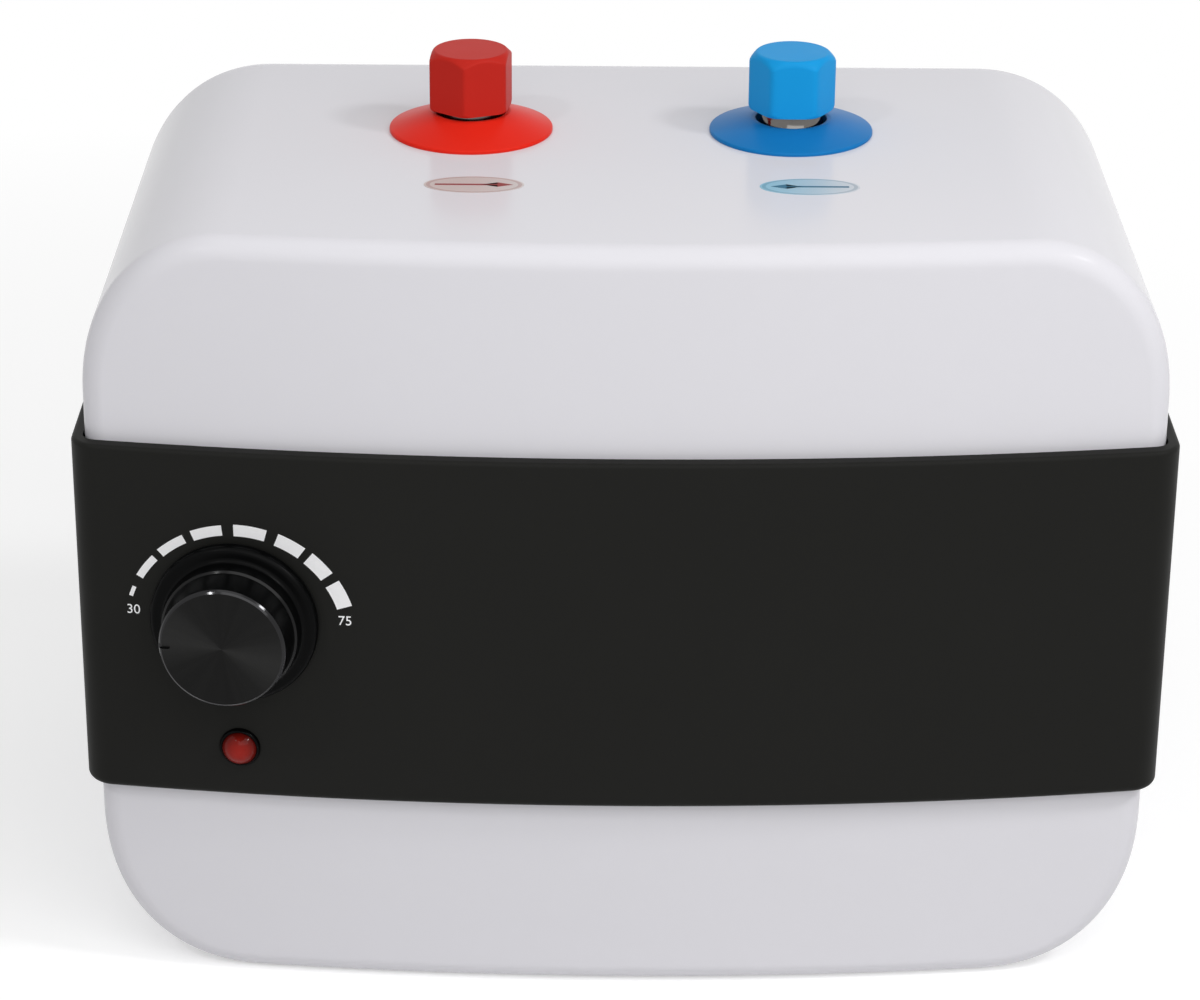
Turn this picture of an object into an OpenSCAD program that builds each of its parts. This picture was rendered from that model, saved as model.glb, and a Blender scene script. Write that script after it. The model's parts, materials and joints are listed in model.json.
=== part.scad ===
// Small under-sink electric water heater: white two-part housing, dark control belt, two top ports

/* [Housing] */
// Width of the white housing
body_w = 342; // [320:1:380]
// Depth of the white housing at its middle
body_d = 200; // [196:1:240]
// Height of the white housing
body_h = 258; // [250:1:290]
// Thickness of the moulded walls
wall = 3; // [2.4:0.1:4]
// How far the front face bows out at its middle
bow = 13.5; // [8:0.5:20]
// Rounding round the front face
front_round = 7; // [5:0.5:9]
// Rounding round the back face
rear_round = 13; // [9:0.5:16]
// Width of the upper corner curve
top_corner_w = 48; // [40:1:56]
// Height of the upper corner curve
top_corner_h = 56; // [48:1:62]
// Fullness of the upper corner curve, 2 is an ellipse
top_corner_n = 2.13; // [2:0.01:2.6]
// Width of the lower corner curve
base_corner_w = 52; // [44:1:58]
// Height of the lower corner curve
base_corner_h = 57.5; // [48:0.5:64]
// Fullness of the lower corner curve, 2 is an ellipse
base_corner_n = 2.28; // [2:0.01:2.6]
// Height of the seam between the two housings
seam_z = 166; // [162:1:172]
// Height of the half-lap joint at the seam
lap_h = 12; // [9:0.5:16]

/* [Belt] */
// Height of the belt's lower edge
belt_z = 68.4; // [64:0.1:76]
// Height of the belt
belt_h = 120.9; // [112:0.1:124]
// How far the belt stands out at the sides
belt_side = 4; // [3:0.1:6]
// How far the belt stands out at the front
belt_front = 5; // [4:0.1:7]
// How far the belt stands out at the back
belt_rear = 3.5; // [2.5:0.1:5]
// Rounding of the belt's front corners in plan
belt_corner = 10; // [8:0.5:14]
// Length of each belt end along the back
belt_leg = 46; // [40:1:56]

/* [Ports] */
// Distance between the two ports
port_gap = 106.3; // [96:0.1:112]
// Sideways shift of the pair of ports
port_shift = 1.65; // [-4:0.05:4]
// Ports behind the middle of the depth
port_y = 17.5; // [8:0.5:26]
// Outside diameter of the pipe thread
thread_d = 20.96; // [16.66:0.01:26.44]
// Outside diameter of the nipple below its thread
nipple_d = 23; // [21.5:0.1:28]
// Bore of the nipples
nipple_bore = 15; // [11:0.5:16]
// Height of the nipples above the housing
nipple_h = 22.5; // [18:0.5:30]
// Diameter of the collars
collar_d = 54.2; // [44:0.2:64]
// Height of the hot collar at its middle
hot_collar_h = 6.6; // [4:0.1:7]
// Height of the cold collar at its middle
cold_collar_h = 4.8; // [3:0.1:7]
// Thickness of the collar rims
collar_rim = 1.2; // [0.8:0.1:2.5]
// Size of the caps across their flats
cap_flats = 25.6; // [24:0.1:30]
// Height of the caps
cap_h = 19.4; // [14:0.1:24]
// Height of the caps' lower edge above the housing
cap_seat = 8.2; // [7.6:0.1:12]
// Bevel round the top of the caps
cap_bevel = 2.8; // [1:0.1:5]
// Turn of the hot cap about its thread
hot_cap_turn = 23; // [0:1:59]
// Thickness of the cap seals
seal_t = 1.8; // [1:0.1:3]

/* [Controls] */
// Distance of the control axis from the housing's left side
knob_from_side = 48; // [42:0.5:56]
// Height of the knob axis
knob_z = 132; // [122:0.5:134]
// Diameter of the knob's face
knob_d = 40.4; // [36:0.2:44]
// Diameter of the knob's body where it leaves the skirt
knob_body_d = 44.6; // [42:0.2:48]
// Diameter of the knob's skirt
knob_skirt_d = 54; // [50:0.5:60]
// Height of the knob above the belt
knob_h = 22; // [18:0.5:28]
// Thickness of the knob's skirt
knob_skirt_h = 4; // [3:0.2:6]
// Diameter of the thermostat spindle
spindle_d = 6; // [5:0.1:7]
// Distance between the thermostat screws
thermostat_pitch = 28; // [26:0.5:32]
// Width and height of the thermostat's body
thermostat_w = 38; // [34:1:40]
// Depth of the thermostat's body
thermostat_depth = 22; // [16:1:24]
// Distance of the lamp below the knob axis
lamp_drop = 45.5; // [40:0.5:48]
// Diameter of the lamp's lens
lamp_d = 11.2; // [8:0.2:12]
// Diameter of the lamp's rim
lamp_rim_d = 13; // [11.5:0.2:16]

/* [Tank] */
// Length of the inner tank
tank_l = 280; // [260:1:284]
// Width of the inner tank
tank_w = 148; // [130:1:150]
// Height of the tank's underside
tank_z = 48; // [44:0.5:54]
// Tank behind the middle of the depth
tank_y = 5; // [3:0.5:7]
// Thickness of the tank's sheet
tank_wall = 1.2; // [0.8:0.1:2]
// Rounding of the tank's edges
tank_edge = 20; // [14:1:24]
// Height of the tank's weld seam
tank_seam = 155; // [153:0.5:160]
// Thickness of the foam jacket
foam = 13.5; // [10:0.5:13.5]

/* [Heater flange] */
// Diameter of the heater flange
flange_d = 92; // [90:1:98]
// Thickness of the heater flange
flange_t = 3; // [2:0.5:5]
// Thickness of the weld ring on the tank
ring_t = 4; // [3:0.5:6]
// Bore of the weld ring and the tank's heater opening
ring_bore = 52; // [51:0.5:58]
// Thickness of the flange gasket
gasket_t = 3; // [2:0.5:4]
// Width of the flange gasket
gasket_w = 7; // [5:0.5:8]
// Circle of the flange bolts
bolt_circle = 76; // [76:0.5:80]
// Diameter of the flange bolts
bolt_d = 6; // [5:0.5:6.5]
// Diameter of the heating element's tube
element_d = 8; // [6.5:0.1:9]
// Distance between the element's legs
element_span = 34; // [30:0.5:36]
// Height of the element above the flange
element_h = 132; // [100:1:170]
// Diameter of the sensor pocket
pocket_d = 10; // [8:0.5:11]
// Height of the sensor pocket above the flange
pocket_h = 124; // [100:1:170]
// Diameter of the anode rod
anode_d = 16; // [12:0.5:17]
// Height of the anode rod above the flange
anode_h = 118; // [80:1:170]
// Diameter of the thermal cut-out
cutout_d = 16; // [14:0.5:17]
// Height of the thermal cut-out
cutout_h = 14; // [12:0.5:18]
// Travel of the reset button
reset_travel = 1.5; // [1:0.1:2.5]

/* [Underside and back] */
// Width of the service cover
cover_w = 150; // [140:1:152]
// Depth of the service cover
cover_d = 104; // [100:1:110]
// Corner rounding of the service cover
cover_corner = 8; // [5:0.5:12]
// Length of the terminal block
block_w = 32; // [26:1:34]
// Depth of the terminal block
block_d = 18; // [14:1:20]
// Height of the terminal block
block_h = 15; // [12:1:18]
// Place of the cord entry to the right of the middle
gland_x = 102; // [96:1:104]
// Height of the cord entry
gland_z = 30; // [26:1:40]
// Bore of the cord entry
gland_bore = 8.4; // [7:0.1:9.5]
// Width of the wall bracket
bracket_w = 230; // [210:1:240]
// Height of the wall bracket
bracket_h = 32; // [24:1:36]
// Thickness of the wall bracket
bracket_t = 2; // [1.5:0.1:3]
// How far the bracket's ears stand off the back
bracket_off = 9; // [6:0.5:12]
// Distance between the hook holes
hook_gap = 200; // [190:1:206]
// Diameter of the hook holes
hook_d = 9; // [7:0.5:12]
// Height of the bracket's middle
bracket_z = 209; // [206:1:216]

/* [Fits] */
// Clearance of pieces that sit in or run in one another
fit = 0.05; // [0.02:0.01:0.08]
// Gap between large moulded faces
gap = 0.3; // [0.2:0.05:0.5]

/* [Hidden] */
$fn = 48;

// Steps of the moulded surfaces
corner_steps = 7;
span_steps = 10;
round_steps = 4;
min_round = 0.8;
bite = 0.8;

// Bowed front: an arc about a line behind the housing
bow_r = (pow(body_w / 2, 2) + bow * bow) / (2 * bow);
bow_y = bow_r - body_d / 2;

// Places along the controls
knob_x = knob_from_side - body_w / 2;
lamp_z = knob_z - lamp_drop;
pad_z = wall + 1.5;
pad_margin = 8;
knob_lift = 0.8;
knob_wall = 2;
knob_hub_d = 15;
insert_t = 0.8;
bush_d = 10;
barrel_d = lamp_d - 0.6;
screw_d = 4;
screw_head_d = 7.4;
screw_head_h = 2.2;
spot = 0.4;

// Places of the ports and of the tank
hot_x = port_shift - port_gap / 2;
cold_x = port_shift + port_gap / 2;
tank_top = body_h - wall - foam - 2 * gap;
tank_r = tank_w / 2;
tank_run = tank_l - tank_w;
nipple_root = tank_top - tank_wall - 4;
thread_z = body_h + 4.5;
cap_chamfer = 0.8;

// Places below the tank
ring_z = tank_z - ring_t;
gasket_z = ring_z - gasket_t;
flange_z = gasket_z - flange_t;
bolt_count = 5;
cutout_x = 29.5;
cutout_y = -6;
pocket_y = 15;
anode_y = -15;
post_x = 92;
post_y = 30;
post_d = 14;
cover_t = wall - gap;
ledge = 8;
ledge_t = 2.5;
cover_screw_x = cover_w / 2 - ledge / 2;
cover_screw_y = cover_d / 2 - cover_corner - ledge;
block_y = body_d / 2 - 36;
cover_boss_h = 9;
bracket_screw_x = 50;
bracket_screw_l = 12;
boss_d = 14;
belt_screw_x = body_w / 2 - 28;
belt_screw_rise = [24, 78];
seam_screw_y = 52;

// Ends of the wires: pins, blades and clamp holes
element_bush_wall = 1.5;
element_bush_h = 6;
element_pin_z = flange_z - 20;
blade_x = 8;
blade_l = 7;
blade_t = 0.8;
blade_out = -pad_z - 0.6 * thermostat_depth;
blade_end = knob_z - thermostat_w / 2 - blade_l - gap;
barrel_end = -pad_z - 14;
clamp_pitch = block_w / 5;
clamp_y = block_y - block_d / 2;
clamp_z = wall + 1 + block_h / 2;
cutout_end = flange_z - cutout_h - 2 * gap;

// Point across and out from the control axis on the bowed front, at height z
function front_point(across, out, z) =
    let (a = asin(knob_x / bow_r))
    [across * cos(a) + (bow_r + out) * sin(a), bow_y + across * sin(a) - (bow_r + out) * cos(a), z];

// Routes of the capillary and of the wires, in the space under and beside the tank
capillary_route = [
    [0, tank_y + pocket_y, 30],
    [0, tank_y + pocket_y, 25],
    [-16, 36, 22],
    [-70, 62, 24],
    [-116, 66, 28],
    [-150, 30, 44],
    [-152, -30, 70],
    [-138, -62, 88],
    front_point(-10, 3 - pad_z - thermostat_depth, 100),
    front_point(-10, 3 - pad_z - thermostat_depth, knob_z - thermostat_w / 2 - gap)
];
live_route = [
    [gland_x - clamp_pitch, clamp_y + 4, clamp_z],
    [gland_x - clamp_pitch, clamp_y - 4, clamp_z],
    [86, 46, 12],
    [80, 34, 13],
    [76, 0, 16],
    [62, -50, 18],
    [0, -70, 18],
    [-70, -74, 18],
    [-112, -74, 24],
    [-130, -72, 50],
    [-131, -74, 80],
    front_point(-blade_x, blade_out + blade_t / 2, blade_end)
];
load_route = [
    front_point(blade_x, blade_out + blade_t / 2, blade_end),
    [-113, -78, 92],
    [-110, -80, 60],
    [-106, -78, 36],
    [-84, -62, 26],
    [-30, -40, 20],
    [20, -22, 17],
    [cutout_x + 4, tank_y + cutout_y - 3, cutout_end - 5],
    [cutout_x + 4, tank_y + cutout_y - 3, cutout_end]
];
neutral_route = [
    [gland_x, clamp_y + 4, clamp_z],
    [gland_x, clamp_y - 4, clamp_z],
    [106, 40, 12],
    [104, 14, 14],
    [84, 6, 20],
    [56, 5, 20],
    [30, 5, 12],
    [element_span / 2, tank_y, element_pin_z - 6],
    [element_span / 2, tank_y, element_pin_z - gap]
];
lamp_route = [
    front_point(0, barrel_end - gap, lamp_z),
    front_point(0, barrel_end - 4, lamp_z),
    [-121, -68, 74],
    [-118, -70, 44],
    [-104, -62, 28],
    [-60, -30, 22],
    [-26, -4, 12],
    [-element_span / 2, tank_y, element_pin_z - 6],
    [-element_span / 2, tank_y, element_pin_z - gap]
];

// Depth coordinate of the bowed front at x, set back by t
function front_y(x, t) = bow_y - sqrt(pow(bow_r - t, 2) - x * x);

// Right half of a housing's front view from its seam to the end of its corner curve, inset by t
function half_outline(t, up, edge_z) =
    let (w = up > 0 ? top_corner_w : base_corner_w,
        h = up > 0 ? top_corner_h : base_corner_h,
        n = up > 0 ? top_corner_n : base_corner_n,
        x = body_w / 2 - w,
        z = up > 0 ? body_h - h : h)
    concat([[x + w - t, edge_z]],
        [for (k = [0:corner_steps])
            let (a = 90 * k / corner_steps)
            [x + (w - t) * pow(cos(a), 2 / n), z + up * (h - t) * pow(sin(a), 2 / n)]]);

// Whole front view from the left seam end across the top or the base to the right seam end
function outline(t, up, edge_z) =
    let (right = half_outline(t, up, edge_z),
        tip = right[len(right) - 1])
    concat([for (p = right) [-p.x, p.y]],
        [for (k = [1:span_steps - 1]) [tip.x * (2 * k / span_steps - 1), tip.y]],
        [for (k = [len(right) - 1:-1:0]) right[k]]);

// Rows of points over one housing surface, from its front seam edge to its back seam edge
function surface_rows(t, up, edge_z) =
    let (rf = max(front_round - t, min_round),
        rr = max(rear_round - t, min_round),
        front = [for (k = [0:round_steps])
            let (a = 90 - 90 * k / round_steps)
            [for (p = outline(t + rf * (1 - cos(a)), up, edge_z))
                [p.x, front_y(p.x, t) + rf * (1 - sin(a)), p.y]]],
        back = [for (k = [0:round_steps])
            let (a = 90 * k / round_steps)
            [for (p = outline(t + rr * (1 - cos(a)), up, edge_z))
                [p.x, body_d / 2 - t - rr * (1 - sin(a)), p.y]]])
    concat([[for (p = front[0]) [p.x, p.y, edge_z]]], front, back,
        [[for (p = back[round_steps]) [p.x, p.y, edge_z]]]);

// Point numbers round the edge of a grid of rows
function edge_loop(rows, cols) = concat(
    [for (i = [0:cols - 1]) i],
    [for (j = [1:rows - 2]) j * cols + cols - 1],
    [for (i = [cols - 1:-1:0]) (rows - 1) * cols + i],
    [for (j = [rows - 2:-1:1]) j * cols]);

function flat(lists) = [for (l = lists) each l];

// Two triangles of the four-sided patch a b c d
function patch(a, b, c, d) = [[a, b, c], [a, c, d]];

function grid_faces(rows, cols, first, out) = flat([for (j = [0:rows - 2], i = [0:cols - 2])
    let (a = first + j * cols + i)
    out ? patch(a, a + 1, a + cols + 1, a + cols) : patch(a, a + cols, a + cols + 1, a + 1)]);

function loop_faces(from, to) = flat([for (k = [0:len(from) - 1])
    let (n = (k + 1) % len(from))
    patch(from[k], to[k], to[n], from[n])]);

function apart(p, q) = norm(p - q) > 0.0001;

// Faces without those that have shrunk to a line
function full_faces(points, faces) = [for (f = faces)
    if (apart(points[f[0]], points[f[1]]) && apart(points[f[1]], points[f[2]])
        && apart(points[f[2]], points[f[0]])) f];

// One housing as a closed moulding: outer skin, half-lap rim from edge_z to lap_z, inner skin
module moulding(up, lap_inset, edge_z, lap_z) {
    outer = surface_rows(0, up, edge_z);
    low = surface_rows(lap_inset, up, edge_z);
    high = surface_rows(lap_inset, up, lap_z);
    inner = surface_rows(wall, up, lap_z);
    rows = len(outer);
    cols = len(outer[0]);
    loop = edge_loop(rows, cols);
    size = rows * cols;
    points = concat(flat(outer), flat(inner), [for (k = loop) flat(low)[k]], [for (k = loop) flat(high)[k]]);
    low_loop = [for (k = [0:len(loop) - 1]) 2 * size + k];
    high_loop = [for (k = low_loop) k + len(loop)];
    inner_loop = [for (k = loop) size + k];
    faces = concat(grid_faces(rows, cols, 0, true), loop_faces(loop, low_loop),
        loop_faces(low_loop, high_loop), loop_faces(high_loop, inner_loop),
        grid_faces(rows, cols, size, false));
    sound = full_faces(points, faces);
    polyhedron(points, up < 0 ? sound : [for (f = sound) [f[0], f[2], f[1]]], convexity = 6);
}

// Plan of the belt: bowed front, straight sides, flat back, each set off from the housing
module plan(side, front, back, corner, back_corner) {
    half = body_w / 2 + side;
    r = bow_r + front;
    x = half - corner;
    y = bow_y - sqrt(pow(r - corner, 2) - x * x);
    reach = 1.5;
    end = body_d / 2 + back;
    intersection() {
        translate([0, bow_y])
            circle(r);
        polygon([[-x, y], [x, y], [x * reach, bow_y - (bow_y - y) * reach],
            [-x * reach, bow_y - (bow_y - y) * reach]]);
    }
    for (s = [-1, 1])
        translate([s * x, y])
            circle(corner);
    translate([-half, y])
        square([2 * half, end - back_corner - y]);
    for (s = [-1, 1])
        translate([s * (half - back_corner), end - back_corner])
            circle(back_corner);
    translate([back_corner - half, y])
        square([2 * (half - back_corner), end - y]);
}

// Frame on the bowed front: X to the right, Y up, Z out from the housing's own surface
module on_front(z) {
    translate([0, bow_y, z])
        rotate([0, 0, asin(knob_x / bow_r)])
            translate([0, -bow_r, 0])
                rotate([90, 0, 0])
                    children();
}

// Straight run with round ends along X from half a section, its X being the distance from the middle
module stadium(run) {
    for (s = [0, 180])
        rotate([0, 0, s])
            translate([run / 2, 0, 0])
                rotate([0, 0, -90])
                    rotate_extrude(angle = 180)
                        children();
    rotate([90, 0, 90])
        linear_extrude(run, center = true) {
            children();
            mirror([1, 0])
                children();
        }
}

// Half section with rounded outer edges
module half_section(r, low, high, edge) {
    translate([0, low])
        square([r - edge, high - low]);
    translate([0, low + edge])
        square([r, high - low - 2 * edge]);
    for (z = [low + edge, high - edge])
        translate([r - edge, z])
            circle(edge);
}

// Half section of a closed skin of thickness t about the tank, from depth d outside the tank
module skin_section(d, t) {
    difference() {
        half_section(tank_r + d + t, tank_z - d - t, tank_top + d + t, tank_edge + d + t);
        half_section(tank_r + d, tank_z - d, tank_top + d, tank_edge + d);
    }
}

module above(z)
    translate([0, z])
        square([tank_l, body_h]);

module below(z)
    translate([0, z - body_h])
        square([tank_l, body_h]);

// Hollow of the two housings, drawn in by g
module inside(g) {
    base = outline(wall + g, -1, seam_z);
    intersection() {
        rotate([90, 0, 0])
            linear_extrude(2 * body_d, center = true)
                polygon(concat(outline(wall + g, 1, seam_z), [for (k = [len(base) - 2:-1:1]) base[k]]));
        linear_extrude(body_h)
            plan(-wall - g, -wall - g, -wall - g, front_round, rear_round);
    }
}

// Room for the controls behind the front: thermostat, its blades, lamp barrel and nut
module control_room() {
    on_front(knob_z) {
        translate([0, 0, -pad_z - thermostat_depth / 2 - 2])
            cube([thermostat_w + 4, thermostat_w + 6, thermostat_depth + 4], center = true);
        translate([-blade_x - 3 - gap, -thermostat_w / 2 - blade_l - gap, blade_out - gap])
            cube([2 * (blade_x + 3 + gap), thermostat_w / 2 + blade_l, -blade_out]);
        bar(thermostat_pitch + 2 * pad_margin + 2 * gap, -pad_z - gap, 0);
    }
    on_front(lamp_z)
        bar(lamp_rim_d + 5 + 2 * gap, barrel_end - gap, 0);
}

// Round bar or hole along an axis
module bar(d, from, to)
    translate([0, 0, from])
        cylinder(d = d, h = to - from);

module hex_bar(flats, from, to)
    translate([0, 0, from])
        cylinder(d = flats / cos(30), h = to - from, $fn = 6);

// Screw with a flat countersunk head whose face lies at z = 0, pointing down
module countersunk(d, head_d, length) {
    bar(d, -length, 0);
    translate([0, 0, -(head_d - d) / 2])
        cylinder(d1 = d, d2 = head_d, h = (head_d - d) / 2);
}

// Screw with a round pan head that rests on z = 0, pointing down
module pan_screw(d, head_d, head_h, length) {
    bar(d, -length, 0);
    difference() {
        bar(head_d, 0, head_h);
        for (a = [0, 90])
            rotate([0, 0, a])
                translate([-head_d * 0.3, -0.5, head_h * 0.5])
                    cube([head_d * 0.6, 1, head_h]);
    }
}

// Places of the repeated fasteners
module at_seam_screws()
    for (s = [-1, 1], y = [-seam_screw_y, seam_screw_y])
        translate([s * body_w / 2, y, seam_z + lap_h / 2])
            rotate([0, s * 90, 0])
                children();

module at_belt_screws()
    for (s = [-1, 1], rise = belt_screw_rise)
        translate([s * belt_screw_x, body_d / 2, belt_z + rise])
            rotate([-90, 0, 0])
                children();

module at_cover_screws()
    for (sx = [-1, 1], sy = [-1, 1])
        translate([sx * cover_screw_x, tank_y + sy * cover_screw_y, 0])
            rotate([180, 0, 0])
                children();

module at_bracket_screws()
    for (s = [-1, 1])
        translate([s * bracket_screw_x, body_d / 2, bracket_z])
            rotate([-90, 0, 0])
                children();

module at_posts()
    for (sx = [-1, 1], sy = [-1, 1])
        translate([sx * post_x, tank_y + sy * post_y, 0])
            children();

module at_bolts()
    for (k = [0:bolt_count - 1])
        translate([0, tank_y, 0])
            rotate([0, 0, 90 + 360 * k / bolt_count])
                translate([bolt_circle / 2, 0, 0])
                    children();

module at_thermostat_screws()
    on_front(knob_z)
        for (s = [-1, 1])
            translate([0, s * thermostat_pitch / 2, 0])
                children();

module at_block_screws()
    for (s = [-1, 1])
        translate([gland_x + s * (block_w / 2 - 4), block_y, wall])
            children();

// Service opening or cover, grown by g
module cover_plan(g) {
    w = cover_w + 2 * g;
    d = cover_d + 2 * g;
    r = cover_corner + g;
    translate([0, tank_y]) {
        square([w - 2 * r, d], center = true);
        square([w, d - 2 * r], center = true);
        for (sx = [-1, 1], sy = [-1, 1])
            translate([sx * (w / 2 - r), sy * (d / 2 - r)])
                circle(r);
    }
}

// Tube of round section along a route, as one swept skin
function along(p, k) = let (d = p[min(k + 1, len(p) - 1)] - p[max(k - 1, 0)]) d / norm(d);
function smooth(p, t) =
    let (n = len(p) - 1,
        k = min(floor(t * n), n - 1),
        u = t * n - k,
        m0 = (p[min(k + 1, n)] - p[max(k - 1, 0)]) / 2,
        m1 = (p[min(k + 2, n)] - p[k]) / 2)
    p[k] * (2 * pow(u, 3) - 3 * u * u + 1) + m0 * (pow(u, 3) - 2 * u * u + u)
        + p[k + 1] * (3 * u * u - 2 * pow(u, 3)) + m1 * (pow(u, 3) - u * u);

module tube(route, d, sides, per_leg) {
    count = (len(route) - 1) * per_leg;
    line = [for (k = [0:count]) smooth(route, k / count)];
    rings = [for (k = [0:count])
        let (t = along(line, k),
            side = cross(t, [0.31, 0.2, 0.93]),
            a = side / norm(side),
            b = cross(t, a))
        for (i = [0:sides - 1])
            line[k] + (a * cos(360 * i / sides) + b * sin(360 * i / sides)) * d / 2];
    skin = flat([for (k = [0:count - 1], i = [0:sides - 1])
        let (n = (i + 1) % sides)
        patch(k * sides + i, (k + 1) * sides + i, (k + 1) * sides + n, k * sides + n)]);
    ends = concat([for (i = [1:sides - 2]) [0, i, i + 1]],
        [for (i = [1:sides - 2]) [0, i + 1, i] + [1, 1, 1] * count * sides]);
    polyhedron(rings, concat(skin, ends), convexity = 6);
}

module upper_housing() {
    color("white")
        difference() {
            moulding(1, wall / 2, seam_z, seam_z + lap_h + gap);
            for (x = [hot_x, cold_x])
                translate([x, port_y, 0])
                    bar(nipple_d + 4 * gap, body_h - 2 * wall, body_h + 1);
            at_seam_screws() {
                bar(screw_d + 2 * fit, -2 * wall, 1);
                translate([0, 0, -(screw_head_d - screw_d) / 2])
                    cylinder(d1 = screw_d + 2 * fit, d2 = screw_head_d + 2 * fit, h = (screw_head_d - screw_d) / 2);
            }
            at_bracket_screws()
                bar(boss_d + 2 * gap, -2 * wall, 1);
        }
}

module lower_housing() {
    color("white")
        difference() {
            union() {
                moulding(-1, wall / 2 + gap / 2, seam_z, seam_z + lap_h);
                on_front(knob_z)
                    bar(thermostat_pitch + 2 * pad_margin, -pad_z, bite - wall);
                on_front(lamp_z)
                    bar(lamp_rim_d + 5, -pad_z, bite - wall);
                at_seam_screws()
                    bar(screw_d + 4, -wall - 5, bite - wall);
                at_belt_screws()
                    bar(screw_d + 4, -wall - 8, bite - wall);
                at_posts()
                    bar(post_d, wall - bite, tank_z);
                translate([0, 0, wall - bite])
                    linear_extrude(ledge_t + bite)
                        difference() {
                            cover_plan(ledge);
                            cover_plan(-ledge);
                        }
                at_cover_screws()
                    bar(screw_d + 4, -wall - cover_boss_h, -wall);
                at_block_screws()
                    bar(screw_d + 4, -bite, 1);
            }
            on_front(knob_z)
                bar(bush_d + 2 * gap, -2 * pad_z, pad_z);
            at_thermostat_screws()
                bar(screw_d + 2 * fit, -2 * pad_z, pad_z);
            on_front(lamp_z)
                bar(barrel_d + 2 * gap, -2 * pad_z, pad_z);
            at_seam_screws()
                bar(screw_d + 2 * fit, -wall - 4, 0);
            at_belt_screws()
                bar(screw_d + 2 * fit, -wall - 7, 1);
            at_posts()
                bar(post_d - 2 * wall, -1, tank_z - wall);
            translate([0, 0, -1])
                linear_extrude(wall + 1)
                    cover_plan(gap);
            at_cover_screws()
                bar(screw_d + 2 * fit, 1 - wall - cover_boss_h, 0);
            at_block_screws()
                bar(screw_d + 2 * fit, -bite, 2);
            translate([gland_x, body_d / 2, gland_z])
                rotate([90, 0, 0])
                    bar(gland_bore + 5 + 2 * fit, -1, 2 * wall);
        }
}

module seam_screws() {
    color("silver")
        at_seam_screws()
            countersunk(screw_d, screw_head_d, wall + 3.5);
}

module belt() {
    color([0.13, 0.13, 0.125])
        difference() {
            translate([0, 0, belt_z])
                linear_extrude(belt_h)
                    difference() {
                        plan(belt_side, belt_front, belt_rear, belt_corner, rear_round + belt_rear);
                        plan(gap, gap, gap, front_round - 2, rear_round - 2);
                        translate([belt_leg - body_w / 2, 0])
                            square([body_w - 2 * belt_leg, body_d]);
                    }
            on_front(knob_z)
                bar(bush_d + 2 * gap, -1, belt_front + 1);
            at_thermostat_screws() {
                bar(screw_d + 2 * fit, -1, belt_front + 1);
                bar(screw_head_d + 2 * gap, belt_front - spot, belt_front + 1);
            }
            on_front(lamp_z) {
                bar(barrel_d + 2 * gap, -1, belt_front + 1);
                bar(lamp_rim_d + 2 * gap, belt_front - spot, belt_front + 1);
            }
            at_belt_screws()
                bar(screw_d + 2 * fit, -1, belt_rear + 1);
        }
}

module belt_screws() {
    color("silver")
        at_belt_screws()
            translate([0, 0, belt_rear])
                pan_screw(screw_d, screw_head_d, screw_head_h, belt_rear + wall + 6);
}

module service_cover() {
    color("white")
        difference() {
            linear_extrude(cover_t)
                cover_plan(0);
            at_cover_screws() {
                bar(screw_d + 2 * fit, -wall, 1);
                translate([0, 0, -(screw_head_d - screw_d) / 2])
                    cylinder(d1 = screw_d + 2 * fit, d2 = screw_head_d + 2 * fit, h = (screw_head_d - screw_d) / 2);
            }
        }
}

module cover_screws() {
    color("silver")
        at_cover_screws()
            countersunk(screw_d, screw_head_d, wall + cover_boss_h - 2);
}

module upper_tank() {
    color("lightsteelblue")
        difference() {
            union() {
                translate([0, tank_y, 0])
                    stadium(tank_run)
                        intersection() {
                            skin_section(-tank_wall, tank_wall);
                            above(tank_seam);
                        }
                at_bracket_screws()
                    bar(boss_d, tank_y + tank_r - tank_wall / 2 - body_d / 2, 0);
            }
            for (x = [hot_x, cold_x])
                translate([x, port_y, 0])
                    bar(nipple_d + 2 * fit, tank_top - tank_wall - 1, tank_top + 1);
            at_bracket_screws()
                bar(screw_d + 1 + 2 * fit, -bracket_screw_l - 1, 1);
        }
}

module lower_tank() {
    color("lightsteelblue")
        difference() {
            union() {
                translate([0, tank_y, 0])
                    stadium(tank_run)
                        intersection() {
                            skin_section(-tank_wall, tank_wall);
                            below(tank_seam);
                        }
                translate([0, tank_y, 0])
                    bar(flange_d, ring_z, tank_z + tank_wall / 2);
            }
            translate([0, tank_y, 0])
                bar(ring_bore, ring_z - 1, tank_z + tank_wall + 1);
            at_bolts()
                bar(bolt_d + 2 * fit, ring_z - 1, tank_z);
        }
}

module upper_foam() {
    color("moccasin")
        difference() {
            intersection() {
                translate([0, tank_y, 0])
                    stadium(tank_run)
                        intersection() {
                            skin_section(gap, foam);
                            above(tank_seam);
                        }
                inside(gap / 2);
            }
            for (x = [hot_x, cold_x])
                translate([x, port_y, 0])
                    bar(nipple_d + 2 * gap, tank_top, body_h);
            at_bracket_screws()
                bar(boss_d + 2 * gap, -body_d / 2, 0);
        }
}

module lower_foam() {
    color("moccasin")
        difference() {
            intersection() {
                translate([0, tank_y, 0])
                    stadium(tank_run)
                        intersection() {
                            skin_section(gap, foam);
                            below(tank_seam);
                        }
                inside(gap / 2);
            }
            translate([0, tank_y, 0])
                bar(flange_d + 4, tank_z - foam - 2, tank_z);
            at_posts()
                bar(post_d + 2 * gap, tank_z - foam - 2, tank_z);
            control_room();
        }
}

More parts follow.
